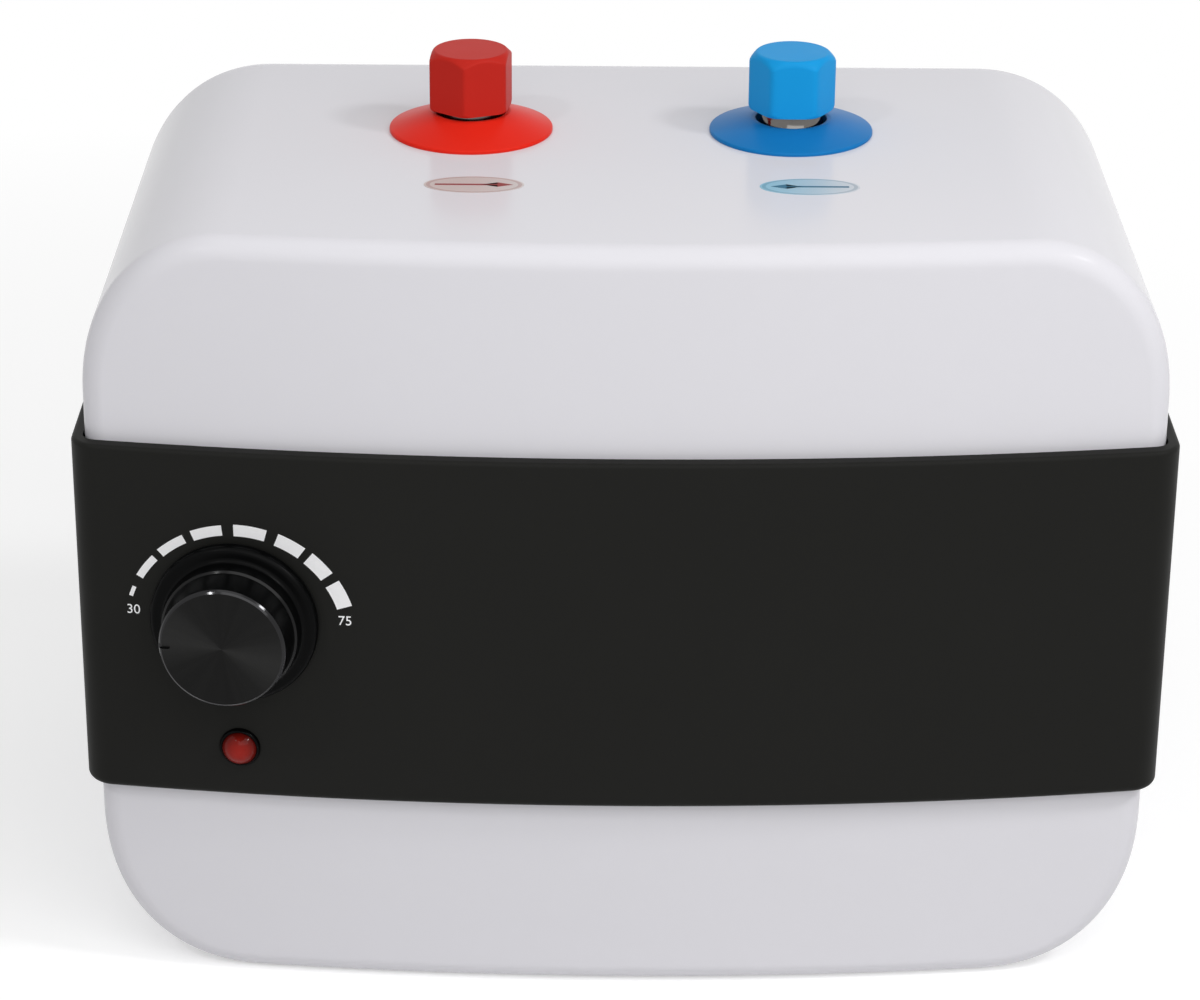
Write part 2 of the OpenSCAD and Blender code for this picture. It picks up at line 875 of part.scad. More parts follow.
// Pipe nipple at a port: welded root, plain neck, threaded end
module nipple(x) {
    translate([x, port_y, 0])
        difference() {
            union() {
                bar(nipple_d, nipple_root, thread_z);
                bar(thread_d, thread_z - 1, body_h + nipple_h);
            }
            bar(nipple_bore, nipple_root - 1, body_h + nipple_h + 1);
        }
}

module hot_nipple() {
    color("silver")
        nipple(hot_x);
}

module cold_nipple() {
    color("silver")
        nipple(cold_x);
}

// Round washer that slopes up to the nipple
module collar(x, h) {
    hole = nipple_d / 2 + gap;
    translate([x, port_y, body_h])
        rotate_extrude()
            polygon([[hole, 0], [collar_d / 2, 0], [collar_d / 2, collar_rim], [hole + 2, h], [hole, h]]);
}

module hot_collar() {
    color([0.91, 0.19, 0.14])
        collar(hot_x, hot_collar_h);
}

module cold_collar() {
    color([0.12, 0.43, 0.73])
        collar(cold_x, cold_collar_h);
}

// Hexagonal screw cap with a bevelled top and a blind bore
module cap(x, turn) {
    r = cap_flats / 2 / cos(30);
    translate([x, port_y, body_h + cap_seat])
        rotate([0, 0, turn])
            difference() {
                intersection() {
                    hex_bar(cap_flats, 0, cap_h);
                    rotate_extrude()
                        polygon([[0, 0], [r - cap_chamfer, 0], [r + 1, cap_chamfer + 1], [r + 1, cap_h - cap_bevel - 1],
                            [r - cap_bevel, cap_h], [0, cap_h]]);
                }
                bar(thread_d + 2 * gap, -1, nipple_h - cap_seat + seal_t + fit);
            }
}

module hot_cap() {
    color([0.75, 0.18, 0.15])
        cap(hot_x, hot_cap_turn);
}

module cold_cap() {
    color([0.12, 0.57, 0.84])
        cap(cold_x, 0);
}

module cap_seal(x) {
    color([0.2, 0.2, 0.2])
        translate([x, port_y, body_h + nipple_h + fit / 2])
            bar(thread_d + 2 * gap - 2 * fit, 0, seal_t);
}

module hot_cap_seal()
    cap_seal(hot_x);

module cold_cap_seal()
    cap_seal(cold_x);

module dip_tube() {
    low = tank_z + 14;
    color("whitesmoke")
        translate([cold_x, port_y, 0])
            difference() {
                bar(nipple_bore - 2 * fit, low, body_h + 6);
                bar(nipple_bore - 4, low - 1, body_h + 7);
                for (a = [0, 90])
                    translate([0, 0, low + 10])
                        rotate([90, 0, a])
                            cylinder(d = 5, h = nipple_bore + 4, center = true);
            }
}

// Places of the two element legs
module at_legs()
    for (s = [-1, 1])
        translate([s * element_span / 2, tank_y, 0])
            children();

module heater_flange() {
    color("silver")
        difference() {
            translate([0, tank_y, 0])
                bar(flange_d, flange_z, gasket_z);
            at_bolts()
                bar(bolt_d + 4 * fit, flange_z - 1, gasket_z + 1);
            at_legs()
                bar(element_d + 2 * fit, flange_z - 1, gasket_z + 1);
            translate([0, tank_y + pocket_y, 0])
                bar(pocket_d + 2 * fit, flange_z - 1, gasket_z + 1);
            translate([0, tank_y + anode_y, 0])
                bar(bolt_d + 2 * fit, flange_z - 1, gasket_z + 1);
        }
}

module flange_gasket() {
    color([0.2, 0.2, 0.2])
        translate([0, tank_y, 0])
            difference() {
                bar(ring_bore + 2 * gasket_w, gasket_z, ring_z);
                bar(ring_bore, gasket_z - 1, ring_z + 1);
            }
}

module flange_bolts() {
    color("silver")
        at_bolts() {
            hex_bar(bolt_d + 4, flange_z - bolt_d * 0.7, flange_z);
            bar(bolt_d, flange_z - 1, tank_z - 1);
        }
}

module heating_element() {
    top = gasket_z + element_h - element_span / 2;
    color("dimgray") {
        at_legs()
            bar(element_d, flange_z - 10, top);
        translate([0, tank_y, top])
            rotate([90, 0, 0])
                rotate_extrude(angle = 180)
                    translate([element_span / 2, 0])
                        circle(d = element_d);
        at_legs()
            bar(element_d / 2, element_pin_z, flange_z - 9);
    }
}

module element_bushes() {
    color("ivory")
        at_legs()
            difference() {
                bar(element_d + 2 * element_bush_wall, flange_z - element_bush_h, flange_z);
                bar(element_d + 2 * fit, flange_z - element_bush_h - 1, flange_z + 1);
            }
}

module sensor_pocket() {
    color("silver")
        translate([0, tank_y + pocket_y, 0])
            difference() {
                bar(pocket_d, flange_z - 4, gasket_z + pocket_h);
                bar(pocket_d - 2, flange_z - 5, gasket_z + pocket_h - 2);
            }
}

module sensor_bulb() {
    top = gasket_z + pocket_h - 2 - fit;
    color("peru")
        translate([0, tank_y + pocket_y, 0]) {
            bar(pocket_d - 2 - 2 * fit, top - 86, top);
            bar(2, capillary_route[0].z + 2 * gap, top - 85);
        }
}

module capillary_tube() {
    color("peru")
        tube(capillary_route, 2, 8, 3);
}

module anode_rod() {
    color("gainsboro")
        translate([0, tank_y + anode_y, 0]) {
            bar(anode_d, gasket_z, gasket_z + anode_h);
            bar(bolt_d, flange_z - 8, gasket_z + 1);
        }
}

module anode_nut() {
    color("silver")
        translate([0, tank_y + anode_y, 0])
            difference() {
                hex_bar(bolt_d + 4, flange_z - 5, flange_z);
                bar(bolt_d + 2 * fit, flange_z - 6, flange_z + 1);
            }
}

module thermal_cutout() {
    color([0.15, 0.15, 0.15])
        translate([cutout_x, tank_y + cutout_y, 0])
            difference() {
                bar(cutout_d, flange_z - cutout_h, flange_z);
                bar(5 + 2 * fit, flange_z - cutout_h - 1, flange_z - cutout_h + 8);
            }
}

module reset_button() {
    color("red")
        translate([cutout_x, tank_y + cutout_y, 0])
            bar(5, flange_z - cutout_h - reset_travel - 1.5, flange_z - cutout_h + 7.5 - reset_travel);
}

// Thermostat on its pad: plate, body, guide bush
module thermostat() {
    color("ivory")
        on_front(knob_z)
            difference() {
                union() {
                    translate([-thermostat_w / 2 + 2, -thermostat_w / 2 - 1, -pad_z - 1.5])
                        cube([thermostat_w - 4, thermostat_w + 2, 1.5]);
                    translate([-thermostat_w / 2, -thermostat_w / 2, -pad_z - thermostat_depth])
                        cube([thermostat_w, thermostat_w, thermostat_depth - 1]);
                    bar(bush_d, -pad_z - 2, belt_front + knob_lift);
                    for (s = [-1, 1])
                        translate([s * blade_x - 3, -thermostat_w / 2 - blade_l, blade_out])
                            cube([6, blade_l + 1, blade_t]);
                }
                bar(spindle_d + 2 * fit, -pad_z - 12, belt_front + knob_h);
                for (s = [-1, 1])
                    translate([0, s * thermostat_pitch / 2, 0])
                        bar(screw_d + 2 * fit, -pad_z - 7, 0);
            }
}

module thermostat_spindle() {
    color("silver")
        on_front(knob_z)
            bar(spindle_d, -pad_z - 11.5, belt_front + knob_h - 5);
}

module thermostat_screws() {
    color("silver")
        at_thermostat_screws()
            translate([0, 0, belt_front - spot])
                pan_screw(screw_d, screw_head_d, screw_head_h, belt_front - spot + pad_z + 6);
}

// Hollow knob: rounded skirt, tapered body, hub on the spindle
module knob() {
    low = belt_front + knob_lift;
    top = belt_front + knob_h;
    skirt = knob_skirt_d / 2;
    edge = knob_skirt_h / 2;
    color([0.07, 0.07, 0.07])
        on_front(knob_z)
            difference() {
                rotate_extrude() {
                    translate([0, low])
                        square([skirt - edge, knob_skirt_h]);
                    translate([0, low])
                        square([skirt, edge]);
                    translate([skirt - edge, low + edge])
                        circle(edge);
                    polygon([[0, low + edge], [knob_body_d / 2, low + edge], [knob_body_d / 2, low + knob_skirt_h],
                        [knob_d / 2 + 0.4, top - 1], [knob_d / 2 - 0.6, top], [0, top]]);
                }
                bar(knob_d - 3, top - insert_t, top + 1);
                difference() {
                    bar(knob_d - 2 * knob_wall, low - 1, top - insert_t - 2 * knob_wall);
                    bar(knob_hub_d, low - 2, top);
                }
                bar(bush_d + 4 * gap, low - 1, low + 3 * gap);
                bar(spindle_d + 2 * fit, low - 1, belt_front + knob_h - 5 + fit);
                translate([-knob_d / 2 - 1, -0.7, top - 1.4])
                    cube([4, 1.4, 3]);
            }
}

module knob_insert() {
    top = belt_front + knob_h;
    color([0.18, 0.18, 0.18])
        on_front(knob_z)
            bar(knob_d - 3 - 4 * fit, top - insert_t, top - 0.1);
}

module lamp_holder() {
    seat = belt_front - spot;
    color([0.08, 0.08, 0.08])
        on_front(lamp_z)
            difference() {
                union() {
                    bar(lamp_rim_d, seat, seat + 1.8);
                    bar(barrel_d, barrel_end, seat + 1);
                }
                bar(lamp_d + 2 * fit, seat + 1, seat + 3);
                bar(barrel_d - 3, barrel_end + 2, seat + 2);
            }
}

module lamp_lens() {
    seat = belt_front - spot + 1;
    stem = barrel_d - 3 - 2 * fit;
    rise = 3.6;
    r = (pow(lamp_d / 2, 2) + rise * rise) / (2 * rise);
    color([0.7, 0.1, 0.08, 0.9])
        on_front(lamp_z) {
            bar(stem, seat - 5, seat + 0.5);
            intersection() {
                translate([0, 0, seat + 0.8 + rise - r])
                    sphere(r);
                bar(lamp_d, seat, seat + rise + 2);
            }
        }
}

module lamp_nut() {
    color([0.1, 0.1, 0.1])
        on_front(lamp_z)
            difference() {
                hex_bar(lamp_rim_d + 2, -pad_z - 4, -pad_z);
                bar(barrel_d + 2 * fit, -pad_z - 5, 0);
            }
}

module terminal_block() {
    color("beige")
        difference() {
            translate([gland_x - block_w / 2, block_y - block_d / 2, wall + 1])
                cube([block_w, block_d, block_h]);
            at_block_screws()
                bar(screw_d + 2 * fit, 0, block_h + 2);
            for (k = [-1:1])
                translate([gland_x + k * clamp_pitch, block_y, clamp_z])
                    rotate([90, 0, 0])
                        cylinder(d = 4, h = block_d + 2, center = true);
        }
}

module block_screws() {
    color("silver")
        at_block_screws()
            translate([0, 0, block_h + 1])
                pan_screw(screw_d, screw_head_d - 1, screw_head_h, block_h + 1.5);
}

// Rubber bush in the back wall: lips each side of the wall, a round bore for the cord, a flared inner end
module cord_gland() {
    hole = gland_bore / 2;
    color([0.15, 0.15, 0.15])
        translate([gland_x, body_d / 2, gland_z])
            rotate([-90, 0, 0])
                rotate_extrude()
                    polygon([[hole + 1, -wall - 3], [hole + 4, -wall - 3], [hole + 4, -wall - fit],
                        [hole + 2.5, -wall - fit], [hole + 2.5, fit], [hole + 5, fit], [hole + 4, 3], [hole + 1.6, 7],
                        [hole, 7], [hole, fit]]);
}

module live_wire() {
    color("saddlebrown")
        tube(live_route, 2.6, 8, 3);
}

module load_wire() {
    color("firebrick")
        tube(load_route, 2.6, 8, 3);
}

module neutral_wire() {
    color("steelblue")
        tube(neutral_route, 2.6, 8, 3);
}

module lamp_wire() {
    color("gray")
        tube(lamp_route, 2, 8, 3);
}

// Pressed strip: middle flat on the back, ears stood off for two wall hooks
module wall_bracket() {
    ear = bracket_w / 2;
    knee = hook_gap / 2 - hook_d - 4;
    foot = knee - bracket_off;
    y0 = body_d / 2 + gap;
    y1 = y0 + bracket_off;
    color("lightgray")
        difference() {
            translate([0, 0, bracket_z - bracket_h / 2])
                linear_extrude(bracket_h)
                    polygon([[-ear, y1], [-knee, y1], [-foot, y0], [foot, y0], [knee, y1], [ear, y1],
                        [ear, y1 + bracket_t], [knee - bracket_t / 2, y1 + bracket_t], [foot - bracket_t / 2, y0 + bracket_t],
                        [bracket_t / 2 - foot, y0 + bracket_t], [bracket_t / 2 - knee, y1 + bracket_t],
                        [-ear, y1 + bracket_t]]);
            for (s = [-1, 1])
                translate([s * hook_gap / 2, body_d / 2, bracket_z])
                    rotate([-90, 0, 0])
                        bar(hook_d, 0, 2 * bracket_off + bracket_t);
            at_bracket_screws()
                bar(screw_d + 1 + 2 * fit, 0, 2 * bracket_t);
        }
}

module bracket_screws() {
    color("silver")
        at_bracket_screws()
            translate([0, 0, gap + bracket_t])
                pan_screw(screw_d + 1, screw_head_d + 1.6, screw_head_h + 0.6, gap + bracket_t + bracket_screw_l);
}

upper_housing();
lower_housing();
seam_screws();
belt();
belt_screws();
service_cover();
cover_screws();
upper_tank();
lower_tank();
upper_foam();
lower_foam();
hot_nipple();
cold_nipple();
hot_collar();
cold_collar();
hot_cap();
cold_cap();
hot_cap_seal();
cold_cap_seal();
dip_tube();
heater_flange();
flange_gasket();
flange_bolts();
heating_element();
element_bushes();
sensor_pocket();
sensor_bulb();
capillary_tube();
anode_rod();
anode_nut();
thermal_cutout();
reset_button();
thermostat();
thermostat_spindle();
thermostat_screws();
knob();
knob_insert();
lamp_holder();
lamp_lens();
lamp_nut();
terminal_block();
block_screws();
cord_gland();
live_wire();
load_wire();
neutral_wire();
lamp_wire();
wall_bracket();
bracket_screws();
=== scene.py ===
"""Small under-sink water heater, dressed over its packed frame: housings, belt, controls, ports, studio."""

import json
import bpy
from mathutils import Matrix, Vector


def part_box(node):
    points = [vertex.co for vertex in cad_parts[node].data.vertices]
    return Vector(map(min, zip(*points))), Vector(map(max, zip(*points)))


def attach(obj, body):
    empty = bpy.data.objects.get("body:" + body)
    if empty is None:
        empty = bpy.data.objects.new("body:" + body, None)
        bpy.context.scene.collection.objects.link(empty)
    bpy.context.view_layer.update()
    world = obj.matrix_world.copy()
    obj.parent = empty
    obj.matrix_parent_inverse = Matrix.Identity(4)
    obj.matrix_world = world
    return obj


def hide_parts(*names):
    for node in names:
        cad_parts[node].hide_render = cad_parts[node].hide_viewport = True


bl_info = {
    "name": "Under-Sink Water Heater",
    "version": (1, 0, 0),
    "blender": (4, 5, 0),
    "location": "3D View > Sidebar > Water Heater",
    "description": "Builds the housings, belt, controls, ports and studio of a small water heater",
    "category": "Add Mesh",
}

from math import asin, cos, pi, radians, sin, tan

import bmesh
import bpy
import numpy as np
from bpy.props import FloatProperty, FloatVectorProperty, PointerProperty, StringProperty
from mathutils import Matrix, Vector

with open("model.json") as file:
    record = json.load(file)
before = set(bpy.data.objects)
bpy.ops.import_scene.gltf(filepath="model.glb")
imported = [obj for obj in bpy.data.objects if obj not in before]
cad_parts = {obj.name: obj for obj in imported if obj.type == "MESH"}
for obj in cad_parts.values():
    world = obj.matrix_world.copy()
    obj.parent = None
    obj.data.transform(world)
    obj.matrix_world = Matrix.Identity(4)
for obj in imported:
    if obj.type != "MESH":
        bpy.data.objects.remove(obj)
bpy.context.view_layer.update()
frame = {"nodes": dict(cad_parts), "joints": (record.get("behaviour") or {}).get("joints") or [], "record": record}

MM = 0.001
MERGE = 0.0002 * MM
UPPER_LOW, UPPER_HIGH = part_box("upper_housing")
LOWER_LOW, LOWER_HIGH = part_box("lower_housing")
BELT_LOW, BELT_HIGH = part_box("belt")
HOT_CAP_LOW, HOT_CAP_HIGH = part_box("hot_cap")
COLD_CAP_LOW, COLD_CAP_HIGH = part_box("cold_cap")
HOT_COLLAR_LOW, HOT_COLLAR_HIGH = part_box("hot_collar")
COLD_COLLAR_LOW, COLD_COLLAR_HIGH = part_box("cold_collar")
HOT_NIPPLE_LOW, HOT_NIPPLE_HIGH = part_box("hot_nipple")
COLD_NIPPLE_LOW, COLD_NIPPLE_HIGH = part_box("cold_nipple")
COVER_LOW, COVER_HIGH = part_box("service_cover")
KNOB_JOINT = next(j for j in frame["joints"] if j["name"] == "knob_turn")


def length(name, description, default):
    """A length in metres that a user may change."""
    return FloatProperty(name=name, description=description, default=default, unit="LENGTH", precision=4)


def colour(name, description, default):
    """A linear colour that a user may change."""
    return FloatVectorProperty(
        name=name, description=description, default=default, subtype="COLOR", size=3, min=0.0, max=1.0
    )


class HousingSettings(bpy.types.PropertyGroup):
    """White housings."""

    width: length("Width", "Width of the white housings", UPPER_HIGH.x - UPPER_LOW.x)
    depth: length("Depth", "Depth of the white housings at their middle", 2 * UPPER_HIGH.y)
    height: length("Height", "Height of the white housings", UPPER_HIGH.z)
    seam: length("Seam", "Height of the seam between the housings", UPPER_LOW.z)
    wall: length("Wall", "Thickness of the moulded walls", 3.0 * MM)
    bow: length("Bow", "How far the front face bows out at its middle", 13.5 * MM)
    front_round: length("Front rounding", "Rounding round the front face", 7.0 * MM)
    rear_round: length("Rear rounding", "Rounding round the back face", 13.0 * MM)
    top_corner: FloatVectorProperty(
        name="Top corner", description="Width and height of the upper corner curve", size=2, unit="LENGTH",
        default=(48.0 * MM, 56.0 * MM),
    )
    top_fullness: FloatProperty(
        name="Top fullness", description="Fullness of the upper corner curve, 2 is an ellipse", default=2.13
    )
    base_corner: FloatVectorProperty(
        name="Base corner", description="Width and height of the lower corner curve", size=2, unit="LENGTH",
        default=(52.0 * MM, 57.5 * MM),
    )
    base_fullness: FloatProperty(
        name="Base fullness", description="Fullness of the lower corner curve, 2 is an ellipse", default=2.28
    )
    tint: colour("Colour", "Colour of the white plastic", (0.78, 0.77, 0.81))


class BeltSettings(bpy.types.PropertyGroup):
    """Dark belt round the housings."""

    low: length("Lower edge", "Height of the belt's lower edge", BELT_LOW.z)
    high: length("Upper edge", "Height of the belt's upper edge", BELT_HIGH.z)
    side: length("Side", "How far the belt stands out at the sides", BELT_HIGH.x - UPPER_HIGH.x)
    front: length("Front", "How far the belt stands out at the front", UPPER_LOW.y - BELT_LOW.y)
    rear: length("Rear", "How far the belt stands out at the back", BELT_HIGH.y - UPPER_HIGH.y)
    corner: length("Corner", "Rounding of the front corners in plan", 10.0 * MM)
    leg: length("Leg", "Length of each belt end along the back", 46.0 * MM)
    lower_edge: length("Lower rounding", "Rounding of the lower outer edge", 2.6 * MM)
    upper_edge: length("Upper rounding", "Rounding of the upper outer edge", 1.5 * MM)
    gap: length("Gap", "Gap between the belt and the housings", 0.3 * MM)
    tint: colour("Colour", "Colour of the dark plastic", (0.0142, 0.0142, 0.0130))


class ControlSettings(bpy.types.PropertyGroup):
    """Knob, dial and lamp on the belt."""

    face: length("Face", "Diameter of the knob's face", 40.4 * MM)
    body: length("Body", "Diameter of the knob's body at the skirt", 44.6 * MM)
    skirt: length("Skirt", "Diameter of the knob's skirt", 54.0 * MM)
    skirt_height: length("Skirt height", "Thickness of the knob's skirt", 4.0 * MM)
    rise: length("Rise", "Height of the knob above the belt", 22.0 * MM)
    lift: length("Lift", "Gap under the knob", 0.8 * MM)
    bush: length("Bush", "Radius of the hole for the spindle's bush", 5.3 * MM)
    groove: length("Groove", "Pitch of the turned grooves in the face", 0.42 * MM)
    groove_depth: length("Groove depth", "Depth of the turned grooves", 0.03 * MM)
    dial: length("Dial", "Radius of the middle of the dial's marks", 36.2 * MM)
    dial_drop: length("Dial drop", "Distance of the dial's centre below the knob's axis", 5.1 * MM)
    dial_shift: length("Dial shift", "Distance of the dial's centre to the right of the axis", 0.7 * MM)
    narrow: length("Narrow", "Width of the first mark", 1.3 * MM)
    wide: length("Wide", "Width of the last mark", 5.0 * MM)
    digits: length("Digits", "Height of the numbers", 3.3 * MM)
    low_text: StringProperty(name="Low", description="Number at the start of the dial", default="30")
    high_text: StringProperty(name="High", description="Number at the end of the dial", default="75")
    lamp_drop: length("Lamp drop", "Distance of the lamp below the knob", 45.5 * MM)
    lens: length("Lens", "Diameter of the lamp's lens", 11.2 * MM)
    rim: length("Rim", "Diameter of the lamp's rim", 13.0 * MM)
    knob_tint: colour("Knob", "Colour of the knob", (0.0018, 0.0019, 0.0020))
    edge_tint: colour("Knob edge", "Colour of the bright cut round the face", (0.029, 0.029, 0.030))
    face_tint: colour("Knob face", "Colour of the turned face", (0.0160, 0.0160, 0.0158))
    ink: colour("Ink", "Colour of the dial's marks", (0.97, 0.97, 0.98))
    lens_tint: colour("Lens", "Colour of the lamp's lens", (0.28, 0.014, 0.009))


class PortSettings(bpy.types.PropertyGroup):
    """Caps, collars and nipples on the top."""

    flats: length("Flats", "Size of the caps across their flats", COLD_CAP_HIGH.y - COLD_CAP_LOW.y)
    bevel: length("Bevel", "Bevel round the top of the caps", 2.8 * MM)
    chamfer: length("Chamfer", "Chamfer round the foot of the caps", 0.8 * MM)
    bore: length("Bore", "Radius of the caps' bore", 10.78 * MM)
    bore_depth: length("Bore depth", "Depth of the caps' bore", 16.15 * MM)
    hot_turn: FloatProperty(
        name="Hot turn", description="Turn of the hot cap about its thread", subtype="ANGLE",
        default=radians(23),
    )
    thread: length("Thread", "Outside diameter of the pipe thread", 20.96 * MM)
    pitch: length("Pitch", "Pitch of the pipe thread", 1.814 * MM)
    neck: length("Neck", "Outside diameter of the nipples below their thread", 23.0 * MM)
    waterway: length("Waterway", "Bore of the nipples", 15.0 * MM)
    shank: length("Shank", "Height of the nipples' shank above the housing", 2.0 * MM)
    relief: length("Relief", "Shoulder and run-out groove between the shank and the thread", 6.4 * MM)
    hot_cap: colour("Hot cap", "Colour of the hot cap", (0.53, 0.022, 0.014))
    cold_cap: colour("Cold cap", "Colour of the cold cap", (0.009, 0.33, 0.74))
    hot_collar: colour("Hot collar", "Colour of the hot collar", (0.78, 0.023, 0.011))
    cold_collar: colour("Cold collar", "Colour of the cold collar", (0.008, 0.182, 0.49))


class StudioSettings(bpy.types.PropertyGroup):
    """Camera, lamps and floor."""

    lens: FloatProperty(name="Lens", description="Focal length of the camera", default=112.14)
    eye: FloatVectorProperty(
        name="Eye", description="Place of the camera", size=3, subtype="TRANSLATION", unit="LENGTH",
        default=(-0.0108, -1.1698, 0.6471),
    )
    pitch: FloatProperty(name="Pitch", description="Downward tilt", default=radians(23.80), subtype="ANGLE")
    yaw: FloatProperty(name="Yaw", description="Turn to the right", default=0.0026, subtype="ANGLE")
    roll: FloatProperty(name="Roll", description="Turn about the view", default=0.0077, subtype="ANGLE")
    sky: FloatProperty(name="Sky", description="Even light from all round", default=0.40)
    key: FloatProperty(name="Key", description="Power of the lamp at the right", default=5.8, unit="POWER")
    fill: FloatProperty(name="Fill", description="Power of the lamp at the left", default=1.7, unit="POWER")
    front: FloatProperty(name="Front", description="Power of the lamp in front", default=4.2, unit="POWER")
    top: FloatProperty(name="Top", description="Power of the lamp above", default=1.8, unit="POWER")
    floor_radius: length("Floor", "Radius of the floor", 4.0)


GROUPS = {
    "heater_housing": HousingSettings,
    "heater_belt": BeltSettings,
    "heater_controls": ControlSettings,
    "heater_ports": PortSettings,
    "heater_studio": StudioSettings,
}


class Place:
    """A corner of space with its own three axes, for shapes that are worked out flat."""

    def __init__(self, origin, x=(1, 0, 0), y=(0, 1, 0), z=(0, 0, 1)):
        self.origin = np.array(origin, float)
        self.axes = np.array([x, y, z], float)

    def put(self, local):
        """Local points carried into the part's frame: the origin plus each coordinate along its axis."""
        return self.origin + np.asarray(local) @ self.axes


def front_place(drop=0.0):
    """Place on the bowed front at the knob's axis, or below it: x to the right, y up, z outwards."""
    out = -np.array(KNOB_JOINT["axis"], float)
    up = np.array([0.0, 0.0, 1.0])
    return Place(np.array(KNOB_JOINT["pos_m"], float) - drop * up, np.cross(up, out), up, out)


def port_place(low, high, z):
    """Upright place on the axis of a port, at height z."""
    return Place(((low.x + high.x) / 2, (low.y + high.y) / 2, z))


def grid_quads(rows, cols, close_rows=False, close_cols=False):
    """Corner numbers of the quads of a grid of points; either direction may run round."""
    r = np.arange(rows if close_rows else rows - 1)[:, None]
    c = np.arange(cols if close_cols else cols - 1)[None, :]
    r_next = (r + 1) % rows
    c_next = (c + 1) % cols
    quads = np.stack([r * cols + c, r * cols + c_next, r_next * cols + c_next, r_next * cols + c], axis=-1)
    return quads.reshape(-1, 4)


def strip_quads(a, b):
    """Quads between two closed loops of point numbers of the same length."""
    return np.stack([a, np.roll(a, -1), np.roll(b, -1), b], axis=-1)


def close_mesh(mesh):
    """Merges the doubles of a mesh and turns its faces outwards."""
    work = bmesh.new()
    work.from_mesh(mesh)
    bmesh.ops.remove_doubles(work, verts=work.verts, dist=MERGE)
    bmesh.ops.recalc_face_normals(work, faces=work.faces)
    work.to_mesh(mesh)
    work.free()


def link_object(name, data):
    """Object of a mesh, a curve, a lamp or a camera, put into the scene."""
    made = bpy.data.objects.new(name, data)
    bpy.context.scene.collection.objects.link(made)
    return made


def make_piece(name, parts, sharp=35.0):
    """Mesh object from parts, each a pair of points and quads: closed, and smooth but for creases."""
    starts = np.cumsum([0] + [len(points) for points, _ in parts[:-1]])
    points = np.concatenate([p for p, _ in parts])
    quads = np.concatenate([q + s for (_, q), s in zip(parts, starts)])
    mesh = bpy.data.meshes.new(name)
    mesh.from_pydata(points.tolist(), [], quads.tolist())
    close_mesh(mesh)
    finish_shading(mesh, sharp)
    return link_object(name, mesh)


def finish_shading(mesh, sharp):
    """Smooth shading with creases where faces meet at more than an angle in degrees."""
    mesh.shade_smooth()
    mesh.set_sharp_from_angle(angle=radians(sharp))


def cut(piece, parts, sharp=35.0):
    """Takes closed tools out of a piece with an exact Boolean put into its mesh; the tools then go."""
    tool = make_piece(piece.name + ".tool", parts)
    modifier = piece.modifiers.new("cut", "BOOLEAN")
    modifier.object = tool
    modifier.operation = "DIFFERENCE"
    modifier.solver = "EXACT"
    bpy.context.view_layer.update()
    before = len(piece.data.polygons)
    mesh = bpy.data.meshes.new_from_object(piece.evaluated_get(bpy.context.evaluated_depsgraph_get()))
    piece.modifiers.clear()
    if len(mesh.polygons) < before // 2:
        raise RuntimeError(f"the cuts in {piece.name} left too little of it")
    spare = piece.data
    piece.data = mesh
    mesh.name = piece.name
    bpy.data.meshes.remove(spare)
    bpy.data.meshes.remove(tool.data)
    finish_shading(mesh, sharp)


def dress(piece, body, finish, slot, *nodes):
    """Gives a piece its finish and the body that carries it, and hides the nodes that it stands for; the slot is
    not used.
    """
    piece.data.materials.clear()
    piece.data.materials.append(finish.material)
    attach(piece, body)
    if nodes:
        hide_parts(*nodes)
    return piece


def rounded(corners, radii, steps=6, closed=False):
    """Polyline with rounded corners: each corner becomes the arc of its radius that touches both of its legs.
    Along the legs the arc starts r tan(turn / 2) from the corner; its centre lies r / cos(turn / 2) away."""
    corners = np.asarray(corners, float)
    radii = np.broadcast_to(radii, len(corners))
    done = []
    for k, (corner, radius) in enumerate(zip(corners, radii)):
        at_end = not closed and k in (0, len(corners) - 1)
        if at_end or radius <= 0:
            done.append(corner[None])
            continue
        back = corners[k - 1] - corner
        ahead = corners[(k + 1) % len(corners)] - corner
        back /= np.linalg.norm(back)
        ahead /= np.linalg.norm(ahead)
        half = np.arccos(np.clip(back @ ahead, -1, 1)) / 2
        middle = (back + ahead) / np.linalg.norm(back + ahead)
        centre = corner + middle * radius / sin(half)
        first = corner + back * radius / tan(half) - centre
        last = corner + ahead * radius / tan(half) - centre
        turn = pi - 2 * half
        t = np.linspace(0, 1, steps + 1)[:, None]
        done.append(centre + (np.sin((1 - t) * turn) * first + np.sin(t * turn) * last) / sin(turn))
    return np.concatenate(done)


def revolve(profile, place, steps=96, closed=True):
    """A profile turned about the z axis of a place: radius r, height h, angle a give r cos a, r sin a, h."""
    profile = np.asarray(profile, float)
    a = np.linspace(0, 2 * pi, steps, endpoint=False)[None, :]
    r = profile[:, :1]
    local = np.stack([r * np.cos(a), r * np.sin(a), profile[:, 1:] + 0 * a], axis=-1)
    return place.put(local.reshape(-1, 3)), grid_quads(len(profile), steps, closed, True)


def rod(place, radius, low, high, steps=64):
    """Plain round tool along the z axis of a place."""
    return revolve([(0, low), (radius, low), (radius, high), (0, high)], place, steps, closed=False)


def slab(place, outline, low, high):
    """Closed plate: an outline of points round its middle, drawn together there at both faces."""
    outline = np.asarray(outline, float)
    middle = outline.mean(axis=0)
    rows = [(middle, low), (outline, low), (outline, high), (middle, high)]
    local = np.stack([
        np.column_stack([np.broadcast_to(p, outline.shape), np.full(len(outline), h)]) for p, h in rows
    ])
    return place.put(local.reshape(-1, 3)), grid_quads(4, len(outline), False, True)


